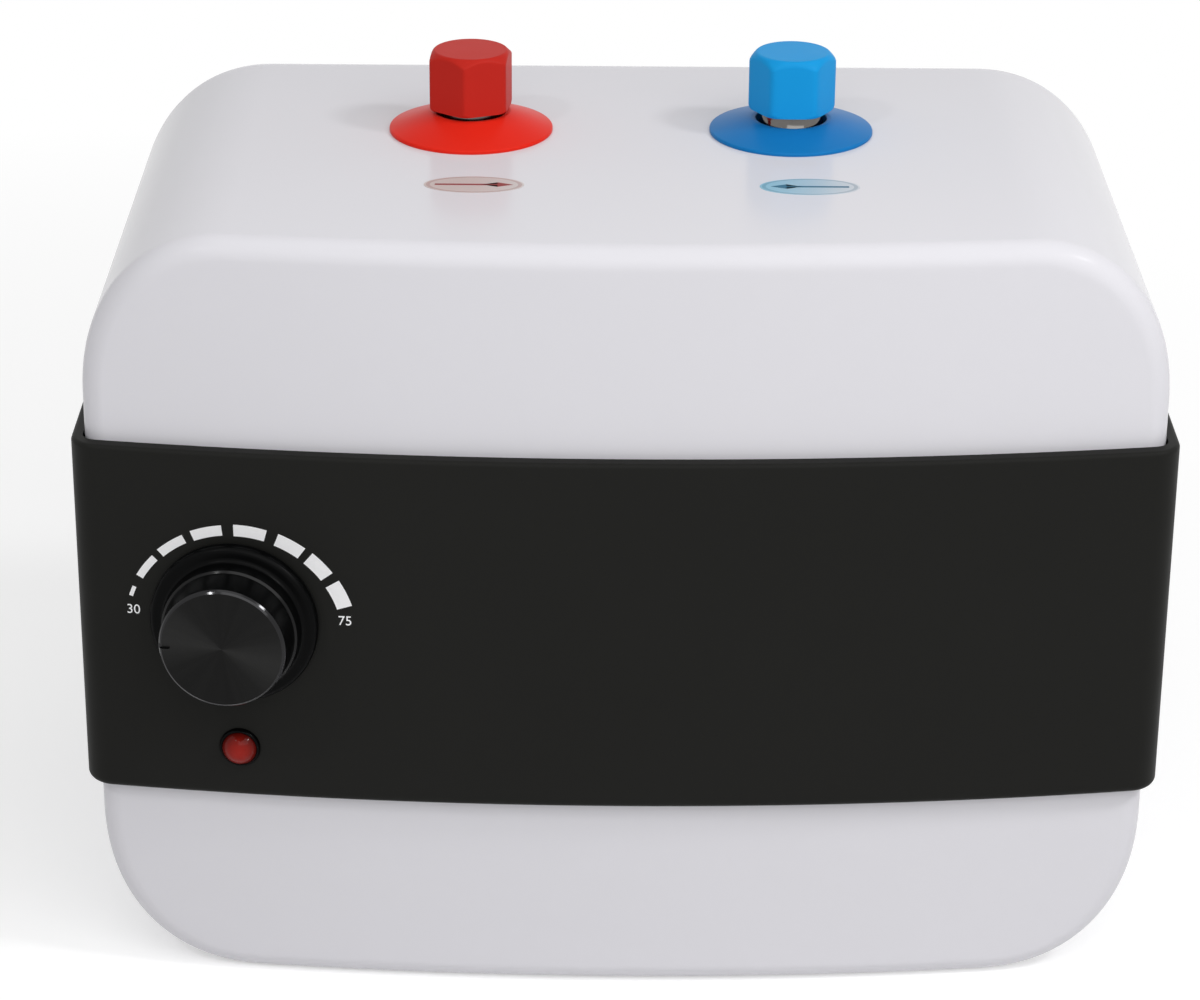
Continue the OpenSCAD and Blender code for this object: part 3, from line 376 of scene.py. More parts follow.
class Sock:
    """A socket whose operators add Math nodes to its finish."""

    def __init__(self, finish, socket):
        self.finish = finish
        self.socket = socket

    def math(self, operation, first, second=None):
        """One Math node on one or two values."""
        values = {0: first} if second is None else {0: first, 1: second}
        return self.finish.node("ShaderNodeMath", {"operation": operation}, values)

    def __add__(self, other):
        return self.math("ADD", self, other)

    def __radd__(self, other):
        return self.math("ADD", other, self)

    def __sub__(self, other):
        return self.math("SUBTRACT", self, other)

    def __rsub__(self, other):
        return self.math("SUBTRACT", other, self)

    def __mul__(self, other):
        return self.math("MULTIPLY", self, other)

    def __rmul__(self, other):
        return self.math("MULTIPLY", other, self)

    def __truediv__(self, other):
        return self.math("DIVIDE", self, other)

    def __pow__(self, other):
        return self.math("POWER", self, other)

    def __gt__(self, other):
        return self.math("GREATER_THAN", self, other)

    def __lt__(self, other):
        return self.math("LESS_THAN", self, other)

    def wave(self):
        """Sine of the value."""
        return self.math("SINE", self)

    def root(self):
        """Square root of the value."""
        return self.math("SQRT", self)

    def larger(self, other):
        """The larger of two values."""
        return self.math("MAXIMUM", self, other)


class Finish:
    """A node material. One method adds any node; the rest are short names for what the finishes use."""

    def __init__(self, name):
        self.material = bpy.data.materials.new(name)
        self.start(self.material)

    def start(self, holder):
        """Empties the node tree of a material or of the world."""
        holder.use_nodes = True
        self.tree = holder.node_tree
        self.tree.nodes.clear()

    def node(self, kind, settings=None, sockets=None, out=0):
        """Adds a node: its settings first, then the values or links of its sockets; gives back one output."""
        made = self.tree.nodes.new(kind)
        for name, value in (settings or {}).items():
            if name == "stops":
                self.set_stops(made.color_ramp, value)
            else:
                setattr(made, name, value)
        for name, value in (sockets or {}).items():
            if isinstance(value, Sock):
                self.tree.links.new(value.socket, made.inputs[name])
            else:
                made.inputs[name].default_value = value
        return Sock(self, made.outputs[out]) if len(made.outputs) else None

    @staticmethod
    def set_stops(ramp, stops):
        """Gives a ramp its stops, each a position and a grey level."""
        while len(ramp.elements) < len(stops):
            ramp.elements.new(1.0)
        for element, (position, level) in zip(ramp.elements, stops):
            element.position = position
            element.color = (level, level, level, 1.0)

    def place(self):
        """The object's own coordinates, in metres."""
        return self.node("ShaderNodeTexCoord", out="Object")

    def parts(self, vector):
        """The three numbers of a vector."""
        split = self.node("ShaderNodeSeparateXYZ", None, {0: vector})
        outputs = split.socket.node.outputs
        return [Sock(self, outputs[k]) for k in range(3)]

    def across(self, place):
        """The three coordinates along the axes of a place."""
        kind = "ShaderNodeVectorMath"
        near = self.node(kind, {"operation": "SUBTRACT"}, {0: self.place(), 1: tuple(place.origin)})
        return [
            self.node(kind, {"operation": "DOT_PRODUCT"}, {0: near, 1: tuple(axis)}, out="Value")
            for axis in place.axes
        ]

    def noise(self, size, detail=2.0, rough=0.5, stretch=None):
        """Noise whose features are about a size across, from 0 to 1; it may be stretched along the axes."""
        vector = self.place()
        if stretch:
            vector = self.node("ShaderNodeMapping", None, {"Vector": vector, "Scale": stretch})
        return self.node("ShaderNodeTexNoise", None, {
            "Vector": vector, "Scale": 1.0 / size, "Detail": detail, "Roughness": rough,
        })

    def ramp(self, value, stops):
        """A value sent through a ramp of greys."""
        return self.node("ShaderNodeValToRGB", {"stops": stops}, {0: value})

    def mixed(self, a, b, factor):
        """Colour between a and b."""
        return self.node("ShaderNodeMix", {"data_type": "RGBA"}, {0: factor, 6: a, 7: b}, out=2)

    def bump(self, height, distance):
        """Normal tilted by a height from 0 to 1 that is a distance deep."""
        return self.node("ShaderNodeBump", None, {"Distance": distance, "Height": height})

    def surface(self, **sockets):
        """Principled shader with its sockets, written with low lines for spaces, joined to the output."""
        values = {name.replace("_", " "): value for name, value in sockets.items()}
        shader = self.node("ShaderNodeBsdfPrincipled", None, values)
        self.node("ShaderNodeOutputMaterial", None, {"Surface": shader})
        return self


def shade(tint, factor):
    """A colour made lighter or darker, with its alpha."""
    return tuple(min(1.0, c * factor) for c in tint) + (1.0,)


def moulded_plastic(name, tint, rough, peel=0.004 * MM, grain=0.0025 * MM, spread=0.03, level=0.5):
    """Moulded plastic: faint flow clouds in its colour, an uneven polish, a slow ripple and a fine grain."""
    finish = Finish(name)
    flow = finish.noise(46 * MM, 3.0)
    polish = finish.noise(17 * MM, 4.0)
    ripple = finish.noise(5.5 * MM, 1.0)
    fine = finish.noise(0.55 * MM, 2.0)
    relief = ripple * (peel / (peel + grain)) + fine * (grain / (peel + grain))
    return finish.surface(
        Base_Color=finish.mixed(shade(tint, 1 - spread), shade(tint, 1 + spread), flow),
        Roughness=rough * 0.85 + polish * (rough * 0.3),
        Normal=finish.bump(relief, peel + grain),
        Specular_IOR_Level=level,
    )


def ringed_plastic(name, tint, rough, place, low, high):
    """Black moulded plastic that is polished in a narrow ring between two heights above a place."""
    finish = Finish(name)
    _, _, height = finish.across(place)
    ring = (height > low) * (height < high)
    flow = finish.noise(6 * MM, 3.0)
    return finish.surface(
        Base_Color=finish.mixed(shade(tint, 0.9), shade(tint, 1.1), flow),
        Roughness=rough * 0.85 + flow * (rough * 0.3),
        Coat_Weight=ring * 0.28,
        Coat_Roughness=0.12,
        Specular_IOR_Level=0.05,
    )


def worked_metal(name, tint, rough, stretch=(1.0, 1.0, 1.0), depth=0.002 * MM, spread=0.06):
    """Worked metal: drawn lines along one way, an uneven polish and a little colour change."""
    finish = Finish(name)
    drawn = finish.noise(0.5 * MM, 3.0, 0.6, stretch)
    cloud = finish.noise(9 * MM, 3.0)
    return finish.surface(
        Base_Color=finish.mixed(shade(tint, 1 - spread), shade(tint, 1 + spread), cloud),
        Roughness=rough * 0.75 + drawn * (rough * 0.5),
        Metallic=1.0,
        Normal=finish.bump(drawn, depth),
    )


def cellular_foam(name, tint):
    """Rigid foam: small cells of two sizes, skinned over unevenly."""
    finish = Finish(name)
    cells = finish.node("ShaderNodeTexVoronoi", {"feature": "SMOOTH_F1"}, {
        "Vector": finish.place(), "Scale": 1 / (1.6 * MM), "Smoothness": 0.4,
    })
    cloud = finish.noise(12 * MM, 4.0)
    return finish.surface(
        Base_Color=finish.mixed(shade(tint, 0.8), shade(tint, 1.05), cloud),
        Roughness=0.8 + cells * 0.15,
        Normal=finish.bump(cells, 0.3 * MM),
    )


def glassy_enamel(name, tint):
    """Fired enamel on sheet: glossy, with orange peel and a few darker specks."""
    finish = Finish(name)
    peel = finish.noise(3.2 * MM, 2.0)
    specks = finish.ramp(finish.noise(1.1 * MM, 1.0), [(0.0, 0.0), (0.68, 0.0), (0.74, 1.0)])
    return finish.surface(
        Base_Color=finish.mixed(shade(tint, 1.0), shade(tint, 0.45), specks),
        Roughness=0.14 + peel * 0.12,
        Normal=finish.bump(peel, 0.02 * MM),
    )


def polished_chrome(name, seat):
    """Chromed brass: bright, with faint polishing swirls and a trace of wiped haze. Below the cap's seat it is
    painted dull and dark, as shade."""
    finish = Finish(name)
    haze = finish.noise(4 * MM, 4.0)
    swirl = finish.noise(0.3 * MM, 2.0)
    _, _, z = finish.parts(finish.place())
    # Painted shade: below the cap's seat the chrome's colour is dark; above it the chrome is bright.
    clear_of_painted_shade = finish.ramp((z - seat) / MM, [(0.0, 0.0), (1.0, 1.0)])
    painted_shade_chrome = finish.mixed((0.12, 0.114, 0.109, 1), (0.17, 0.162, 0.155, 1), haze)
    bright = finish.mixed((0.50, 0.495, 0.485, 1), (0.56, 0.555, 0.545, 1), haze)
    return finish.surface(
        Base_Color=finish.mixed(painted_shade_chrome, bright, clear_of_painted_shade),
        Roughness=0.08 + haze * 0.09,
        Metallic=1.0,
        Normal=finish.bump(swirl, 0.0006 * MM),
    )


def turned_face(name, tint, edge, place, radius, sheen_angle):
    """Turned and blackened aluminium with a bright cut edge: the grooves are in the mesh, so here the tone changes
    in soft rays round the axis, and a painted sheen lightens two wedges along a set angle, a power of half of 1
    plus the cosine of twice the angle from it. Beyond a radius the metal is bare."""
    finish = Finish(name)
    x, y, _ = finish.across(place)
    from_axis = (x * x + y * y).root()
    ray = finish.node("ShaderNodeCombineXYZ", None, {0: x / from_axis, 1: y / from_axis})
    rays = finish.node("ShaderNodeTexNoise", None, {
        "Vector": ray, "Scale": 2.6, "Detail": 4.0, "Roughness": 0.62,
    })
    twice = ((x * x - y * y) * cos(2 * sheen_angle) + (x * y) * (2 * sin(2 * sheen_angle))) / (from_axis * from_axis)
    painted_sheen = (twice * 0.5 + 0.5) ** 4.0
    wear = finish.noise(0.25 * MM, 2.0)
    cut_edge = from_axis > radius
    # Painted sheen: two lighter wedges at a set angle stand in for the face's highlight; the soft rays are tone
    # that varies at random.
    dark = finish.mixed(shade(tint, 0.55), shade(tint, 1.75), painted_sheen * 0.55 + rays * 0.45)
    return finish.surface(
        Base_Color=finish.mixed(dark, shade(edge, 1.0), cut_edge),
        Roughness=0.30 + wear * 0.10 - cut_edge * 0.23,
        Metallic=1.0,
    )


def lamp_plastic(name, tint, place, radius):
    """Clear red plastic over a dark holder: painted shade darkens it towards its edge, faceted inside, glossy."""
    finish = Finish(name)
    x, y, _ = finish.across(place)
    from_axis = (x * x + y * y).root() / radius
    swirl = finish.noise(2.4 * MM, 3.0)
    # Painted shade: the red darkens with the distance from the axis and is lightest in the middle; the swirl is
    # tone that varies at random.
    depth = (from_axis ** 2.2) * 0.80 + swirl * 0.22
    return finish.surface(
        Base_Color=finish.mixed(shade(tint, 1.25), shade(tint, 0.16), depth),
        Roughness=0.09 + swirl * 0.05,
        Normal=finish.bump(swirl, 0.01 * MM),
        Specular_IOR_Level=0.10,
    )


def printed_ink(name, tint):
    """Screen-printed ink: slightly uneven cover and a soft gloss."""
    finish = Finish(name)
    cover = finish.noise(0.8 * MM, 3.0)
    return finish.surface(
        Base_Color=finish.mixed(shade(tint, 0.95), shade(tint, 1.02), cover),
        Roughness=0.42 + cover * 0.15,
        Normal=finish.bump(cover, 0.004 * MM),
    )


def sticker_film(name, pale, far, edge, middle, half):
    """Coated paper label: its tone runs from end to end, with a faint line just inside its oval edge. The
    oval distance is the root of (x / half width) squared plus (y / half height) squared, 1 at the edge."""
    finish = Finish(name)
    near = finish.node("ShaderNodeMapping", {"vector_type": "POINT"}, {
        "Vector": finish.place(), "Location": tuple(-c for c in middle),
    })
    x, y, _ = finish.parts(near)
    u = x / half[0]
    v = y / half[1]
    oval = (u * u + v * v).root()
    line = (oval > 0.88) * (oval < 0.96)
    fibre = finish.noise(0.4 * MM, 2.0)
    tone = finish.mixed(shade(pale, 1.0), shade(far, 1.0), 0.5 + u * 0.5)
    return finish.surface(
        Base_Color=finish.mixed(tone, edge + (1.0,), line * 0.35),
        Roughness=0.30 + fibre * 0.2,
        Normal=finish.bump(fibre, 0.002 * MM),
    )


def front_depth(s, x, inset):
    """Depth of the bowed front at x: an arc whose radius is (half width squared + bow squared) / (2 bow)."""
    radius = bow_radius(s)
    return radius - s.depth / 2 - np.sqrt((radius - inset) ** 2 - x * x)


def bow_radius(s):
    """Radius of the bowed front in plan."""
    return ((s.width / 2) ** 2 + s.bow ** 2) / (2 * s.bow)


def front_view(s, inset, up, edge):
    """Front view of one housing for each inset: from the left seam end over the corners to the right one.
    A corner is a superellipse, |x / w| to the n plus |z / h| to the n is 1, its half axes less the inset."""
    inset = np.atleast_1d(inset)[:, None]
    w, h = s.top_corner if up > 0 else s.base_corner
    n = s.top_fullness if up > 0 else s.base_fullness
    a = np.linspace(0, pi / 2, 49)[None, :]
    x = s.width / 2 - w + (w - inset) * np.cos(a).clip(0) ** (2 / n)
    z = (s.height - h if up > 0 else h) + up * (h - inset) * np.sin(a) ** (2 / n)
    draft = 0.04 * MM
    x = np.concatenate([s.width / 2 - inset + draft, x], axis=1)
    z = np.concatenate([edge + 0 * inset, z], axis=1)
    across = np.linspace(-1, 1, 26)[None, 1:-1] * x[:, -1:]
    return (
        np.concatenate([-x, across, x[:, ::-1]], axis=1),
        np.concatenate([z, z[:, -1:] + 0 * across, z[:, ::-1]], axis=1),
    )


def housing_skin(s, inset, up, edge):
    """Grid over one housing from its front seam edge to its back one: bowed front panel, round edge, top or
    base, round edge, flat back panel. An edge of radius r at angle a draws the view in by r (1 - cos a)."""
    front_r = max(s.front_round - inset, 0.8 * MM)
    rear_r = max(s.rear_round - inset, 0.8 * MM)
    climb = np.array([0.0, 0.015, 0.3, 0.7, 0.985])
    a = np.linspace(pi / 2, 0, 17)
    x, z = front_view(s, np.full(len(climb), inset + front_r), up, edge)
    panel = np.stack([x, front_depth(s, x, inset), edge + climb[:, None] * (z - edge)], axis=-1)
    x, z = front_view(s, inset + front_r * (1 - np.cos(a)), up, edge)
    front = np.stack([x, front_depth(s, x, inset) + front_r * (1 - np.sin(a))[:, None], z], axis=-1)
    b = a[::-1]
    x, z = front_view(s, inset + rear_r * (1 - np.cos(b)), up, edge)
    back = np.stack([x, (s.depth / 2 - inset - rear_r * (1 - np.sin(b)))[:, None] + 0 * x, z], axis=-1)
    t = np.array([0.008, 0.25, 0.5, 0.75, 0.992])[:, None, None]
    over = front[-1] * (1 - t) + back[0] * t
    x, z = front_view(s, np.full(len(climb), inset + rear_r), up, edge)
    wall = np.stack([x, s.depth / 2 - inset + 0 * x, edge + climb[::-1, None] * (z - edge)], axis=-1)
    return np.concatenate([panel, front, over, back, wall])


def edge_loop(rows, cols):
    """Point numbers round the edge of a grid."""
    k = np.arange(rows * cols).reshape(rows, cols)
    return np.concatenate([k[0], k[1:-1, -1], k[-1, ::-1], k[-2:0:-1, 0]])


def housing_shell(s, up):
    """One housing as a closed shell: outer skin, a fine chamfer along the seam, the rim, inner skin."""
    chamfer = 0.3 * MM
    outer = housing_skin(s, 0.0, up, s.seam + up * chamfer)
    lip = housing_skin(s, chamfer, up, s.seam)
    inner = housing_skin(s, s.wall, up, s.seam)
    rows, cols = outer.shape[:2]
    loop = edge_loop(rows, cols)
    size = rows * cols
    points = np.concatenate([outer.reshape(-1, 3), inner.reshape(-1, 3), lip.reshape(-1, 3)[loop]])
    lip_loop = 2 * size + np.arange(len(loop))
    grid = grid_quads(rows, cols)
    quads = np.concatenate([
        grid, grid + size, strip_quads(loop, lip_loop), strip_quads(lip_loop, loop + size),
    ])
    return points, quads


def rounded_oblong(width, depth, corner, steps=12):
    """Outline of a rectangle with round corners."""
    x, y = width / 2, depth / 2
    return rounded([(x, -y), (x, y), (-x, y), (-x, -y)], corner, steps, closed=True)


class HEATER_OT_housings(bpy.types.Operator):
    """Makes the two white housings with the openings for ports, cover, posts, controls and gland"""

    bl_idname = "heater.housings"
    bl_label = "Housings"

    def execute(self, context):
        s = context.scene.heater_housing
        ports = context.scene.heater_ports
        c = context.scene.heater_controls
        white = moulded_plastic("white_housing", s.tint, 0.18, spread=0.008, level=0.08)
        back = Place((0, s.depth / 2, 0), (1, 0, 0), (0, 0, 1), (0, -1, 0))
        screw_low, screw_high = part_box("bracket_screws")
        screw_head = 4.5 * MM
        boss_x = (screw_high.x - screw_low.x) / 2 - screw_head
        boss_z = (screw_high.z + screw_low.z) / 2
        boss_hole, gland_hole = 7.3 * MM, 6.75 * MM
        behind, ahead = -2 * MM, 6 * MM
        upper = make_piece("housing_upper", [housing_shell(s, 1)])
        tools = []
        for low, high in ((HOT_NIPPLE_LOW, HOT_NIPPLE_HIGH), (COLD_NIPPLE_LOW, COLD_NIPPLE_HIGH)):
            tools.append(rod(port_place(low, high, s.height), ports.neck / 2 + 0.6 * MM, -8 * MM, 2 * MM))
        for side in (-1, 1):
            boss = Place((side * boss_x, s.depth / 2, boss_z), *back.axes)
            tools.append(rod(boss, boss_hole, behind, ahead))
        cut(upper, tools)
        dress(upper, "heater", white, "white_plastic", "upper_housing")

        lower = make_piece("housing_lower", [housing_shell(s, -1)])
        gap = 0.3 * MM
        middle = (COVER_LOW + COVER_HIGH) / 2
        size = COVER_HIGH - COVER_LOW
        cover_corner = 8 * MM
        below = -3 * MM
        opening = rounded_oblong(size.x + 2 * gap, size.y + 2 * gap, cover_corner + gap)
        tools = [slab(Place((middle.x, middle.y, 0)), opening, below, ahead)]
        bore, outer, foot, top, end = np.array([4, 7, 2.9, 48, 3]) * MM
        profile = [(bore, foot), (outer, foot), (outer, top), (0, top), (0, top - end), (bore, top - end)]
        posts = []
        for x, y in ((-92, -25), (92, -25), (-92, 35), (92, 35)):
            post = Place((x * MM, y * MM, 0))
            tools.append(rod(post, bore, below, ahead))
            posts.append(revolve(profile, post, 48))
        gland_low, gland_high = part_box("cord_gland")
        gland = Place(
            ((gland_low.x + gland_high.x) / 2, s.depth / 2, (gland_low.z + gland_high.z) / 2), *back.axes
        )
        tools.append(rod(gland, gland_hole, behind, ahead))
        for drop, radius in ((0.0, c.bush), (c.lamp_drop, c.lens / 2)):
            tools.append(rod(front_place(drop), radius, -9 * MM, 5 * MM))
        cut(lower, tools)
        inner = make_piece("housing_posts", posts)
        dress(lower, "heater", white, "white_plastic", "lower_housing")
        dress(inner, "heater", white, "white_plastic")
        return {"FINISHED"}


def belt_path(s, b, side, front, rear, corner, rear_corner, steps):
    """Plan of one face of the belt, from its left end on the back round the front to its right end: straight
    leg, rear corner arc, straight side, front corner arc, bowed front arc, and the same mirrored."""
    half = s.width / 2 + side
    radius = bow_radius(s) + front
    bow_y = bow_radius(s) - s.depth / 2
    x = half - corner
    y = bow_y - np.sqrt((radius - corner) ** 2 - x * x)
    end = s.depth / 2 + rear
    legs, arcs, sides, corners, span = steps
    t = np.linspace(0, 1, legs)[:, None]
    leg = (1 - t) * [s.width / 2 - b.leg, end] + t * [half - rear_corner, end]
    a = np.linspace(pi / 2, 0, arcs)[1:, None]
    pivot = np.array([half - rear_corner, end - rear_corner])
    rear_arc = pivot + rear_corner * np.hstack([np.cos(a), np.sin(a)])
    t = np.linspace(0, 1, sides)[1:, None]
    straight = (1 - t) * [half, end - rear_corner] + t * [half, y]
    lean = asin(x / (radius - corner))
    a = np.linspace(0, lean - pi / 2, corners)[1:, None]
    front_arc = np.array([x, y]) + corner * np.hstack([np.cos(a), np.sin(a)])
    right = np.concatenate([leg, rear_arc, straight, front_arc])
    a = np.linspace(-lean, lean, span)[1:-1, None]
    bowed = np.hstack([radius * np.sin(a), bow_y - radius * np.cos(a)])
    return np.concatenate([right * [-1, 1], bowed, right[::-1]])


def belt_shell(s, b):
    """Belt as a closed band: at each station of its plan the section runs from the inner face to the outer
    one, whose lower and upper edges are quarter circles, and both ends are rounded off in plan."""
    steps = (16, 18, 10, 14, 50)
    inner = belt_path(s, b, b.gap, b.gap, b.gap, s.front_round - 2 * MM, s.rear_round - 2 * MM, steps)
    outer = belt_path(s, b, b.side, b.front, b.rear, b.corner, s.rear_round + b.rear, steps)
    across = outer - inner
    thick = np.linalg.norm(across, axis=1, keepdims=True)
    across /= thick
    run = np.concatenate([[0], np.cumsum(np.linalg.norm(np.diff(outer, axis=0), axis=1))])
    from_end = np.minimum(run, run[-1] - run)[:, None]
    end_round = 1.6 * MM
    left = np.clip(end_round - from_end, 0, end_round)
    thick = thick - (end_round - np.sqrt(np.maximum(end_round ** 2 - left ** 2, 0)))
    a = np.linspace(0, pi / 2, 9)
    low, high = b.lower_edge, b.upper_edge
    whole = 1e9
    drawn = np.concatenate([
        [whole, low + 0.05 * MM], low * (1 - np.sin(a)), [0, 0], high * (1 - np.cos(a)), [whole],
    ])
    z = np.concatenate([
        [b.low, b.low], b.low + low * (1 - np.cos(a)), [b.low + low + 0.3 * MM, b.high - high - 0.3 * MM],
        b.high - high * (1 - np.sin(a)), [b.high],
    ])
    reach = np.maximum(thick - drawn[None, :], 0)
    plan = inner[:, None, :] + across[:, None, :] * reach[:, :, None]
    rows, cols = reach.shape
    points = np.concatenate([plan, np.broadcast_to(z[None, :, None], (rows, cols, 1))], axis=-1)
    middle = points[[0, -1]].mean(axis=1)
    ends = np.stack([np.broadcast_to(m, (cols, 3)) for m in middle])
    points = np.concatenate([ends[:1], points, ends[1:]])
    return points.reshape(-1, 3), grid_quads(rows + 2, cols, False, True)


class HEATER_OT_belt(bpy.types.Operator):
    """Makes the dark belt with the seats of its knob and its lamp"""

    bl_idname = "heater.belt"
    bl_label = "Belt"

    def execute(self, context):
        s = context.scene.heater_housing
        b = context.scene.heater_belt
        c = context.scene.heater_controls
        belt = make_piece("belt_band", [belt_shell(s, b)])
        lamp = front_place(c.lamp_drop)
        cut(belt, [
            rod(front_place(), c.bush, -1 * MM, b.front + 2 * MM),
            revolve(np.array([
                (0, -1.0), (c.lens / 2 / MM, -1.0), (c.lens / 2 / MM, 4.6), (c.rim / 2 / MM + 0.3, 4.6),
                (c.rim / 2 / MM + 0.3, 9.0), (0, 9.0),
            ]) * MM, lamp, 64, closed=False),
        ])
        dark = moulded_plastic("belt_plastic", b.tint, 0.46, grain=0.006 * MM, spread=0.05, level=0.06)
        dress(belt, "heater", dark, "belt_plastic", "belt")
        return {"FINISHED"}


class HEATER_OT_knob(bpy.types.Operator):
    """Makes the knob with its skirt and notch, and its turned face"""

    bl_idname = "heater.knob"
    bl_label = "Knob"

    def execute(self, context):
        b = context.scene.heater_belt
        c = context.scene.heater_controls
        place = front_place()
        low = b.front + c.lift
        top = b.front + c.rise
        face, body, skirt = c.face / 2, c.body / 2, c.skirt / 2
        floor = top - 1.075 * MM
        edge = low + c.skirt_height
        shoulder = b.front + 10.2 * MM
        ring = 0.61 * MM
        hollow, ceiling = face - 2 * MM, floor - 4 * MM
        hub, recess, spindle = 7.5 * MM, 5.6 * MM, 3.05 * MM
        collar, socket = low + 0.9 * MM, top - 4.95 * MM
        corners = [
            (0, floor), (face + 0.1 * MM, floor), (face + 0.9 * MM, shoulder + ring),
            (face + 1.65 * MM, shoulder), (body, edge), (skirt, edge), (skirt, low), (hollow, low),
            (hollow, ceiling), (hub, ceiling), (hub, low), (recess, low), (recess, collar), (spindle, collar),
            (spindle, socket), (0, socket),
        ]
        radii = np.array([0, 0.3, 0.15, 0.15, 1.6, 1.9, 0.4, 0.3, 1, 1, 0.2, 0, 0, 0, 0, 0]) * MM
        knob = make_piece("knob_body", [revolve(rounded(corners, radii, 8), place, 160, closed=False)])
        notch = rounded_oblong(6.0 * MM, 1.6 * MM, 0.6 * MM, 4) - [face - 0.8 * MM, 0]
        cut(knob, [slab(place, notch, top - 1.7 * MM, top + 2 * MM)])
        inside = 0.02 * MM
        gloss = ringed_plastic(
            "knob_plastic", c.knob_tint, 0.3, place, shoulder + inside, shoulder + ring - inside
        )
        dress(knob, "knob", gloss, "black_plastic", "knob")

        flat = face - 1.0 * MM
        r = np.arange(0, flat - 0.2 * MM, c.groove / 9)
        cover = top - c.groove_depth * 0.5 * (1 - np.cos(2 * pi * r / c.groove))
        facets = [
            (flat - 0.05 * MM, top), (flat, top - 0.01 * MM), (face - 0.42 * MM, top - 0.481 * MM),
            (face, floor),
        ]
        profile = np.concatenate([np.column_stack([r, cover]), facets, [(0, floor)]])
        insert = make_piece("knob_face", [revolve(profile, place, 144, closed=False)], sharp=9)
        cut(insert, [slab(place, notch, top - 0.9 * MM, top + 2 * MM)], 9)
        # The face's finish paints a lighter sheen into two wedges at 165 degrees.
        metal = turned_face("turned_face", c.face_tint, c.edge_tint, place, flat, radians(165))
        dress(insert, "knob", metal, "dark_aluminium", "knob_insert")
        return {"FINISHED"}


def on_belt(s, b, x):
    """Height of the belt's bowed front above the knob's place at x: the housing's arc, drawn outwards."""
    radius = bow_radius(s)
    return np.sqrt((radius + b.front) ** 2 - x * x) - radius


def dial_mark(s, b, place, shift, angle, width, run, radius):
    """One mark of the dial: a ring segment on a grid of angle and radius on the bowed front, closed below."""
    half = run / 2 / radius
    a = angle + np.linspace(-half, half, 9)[None, :]
    r = radius + width * np.array([-0.5, -0.47, 0.0, 0.47, 0.5])[:, None]
    x = shift + r * np.cos(a)
    y = r * np.sin(a)
    ground = on_belt(s, b, x)
    top = np.stack([x, y, ground + 0.07 * MM], axis=-1)
    under = np.stack([x, y, ground - 0.10 * MM], axis=-1)
    rows, cols = r.shape[0], a.shape[1]
    loop = edge_loop(rows, cols)
    grid = grid_quads(rows, cols)
    size = rows * cols
    points = place.put(np.concatenate([top, under]).reshape(-1, 3))
    return points, np.concatenate([grid, grid + size, strip_quads(loop, loop + size)])


def number_mesh(text, height):
    """Thin closed mesh of a number of a given height, centred; digits are 0.72 of the font's size."""
    curve = bpy.data.curves.new("number", "FONT")
    curve.body = text
    curve.align_x = "CENTER"
    curve.align_y = "CENTER"
    curve.size = height / 0.72
    curve.extrude = 0.08 * MM
    curve.resolution_u = 5
    writer = link_object("number", curve)
    bpy.context.view_layer.update()
    mesh = bpy.data.meshes.new_from_object(writer.evaluated_get(bpy.context.evaluated_depsgraph_get()))
    bpy.data.objects.remove(writer)
    bpy.data.curves.remove(curve)
    return mesh


def lay_number(s, b, name, text, height, at, place):
    """A number set on the belt's bowed front, its middle at a point of the knob's place."""
    mesh = number_mesh(text, height)
    flat = np.empty(len(mesh.vertices) * 3)
    mesh.vertices.foreach_get("co", flat)
    local = flat.reshape(-1, 3) + [at[0], at[1], 0]
    local[:, 2] += on_belt(s, b, local[:, 0])
    mesh.vertices.foreach_set("co", place.put(local).ravel())
    close_mesh(mesh)
    mesh.name = name
    return link_object(name, mesh)


class HEATER_OT_dial(bpy.types.Operator):
    """Prints the dial round the knob: eight marks that grow wider, and a number at each end"""

    bl_idname = "heater.dial"
    bl_label = "Dial"

    def execute(self, context):
        s = context.scene.heater_housing
        b = context.scene.heater_belt
        c = context.scene.heater_controls
        place = front_place()
        angles = np.radians([159, 143, 124.5, 104.5, 82.5, 61.5, 43.5, 25])
        runs = np.array([3.5, 8.6, 9.6, 10.0, 10.3, 9.1, 8.5, 8.9]) * MM
        widths = c.narrow + (c.wide - c.narrow) * np.linspace(0, 1, len(angles)) ** 0.6
        dial = front_place(c.dial_drop)
        marks = [
            dial_mark(s, b, dial, c.dial_shift, angle, width, run, c.dial)
            for angle, width, run in zip(angles, widths, runs)
        ]
        ink = printed_ink("dial_ink", c.ink)
        dress(make_piece("dial_marks", marks), "heater", ink, "belt_plastic")
        for name, text, at in (
            ("dial_low", c.low_text, (-33.1 * MM, 1.4 * MM)),
            ("dial_high", c.high_text, (35.2 * MM, 1.3 * MM)),
        ):
            dress(lay_number(s, b, name, text, c.digits, at, place), "heater", ink, "belt_plastic")
        return {"FINISHED"}


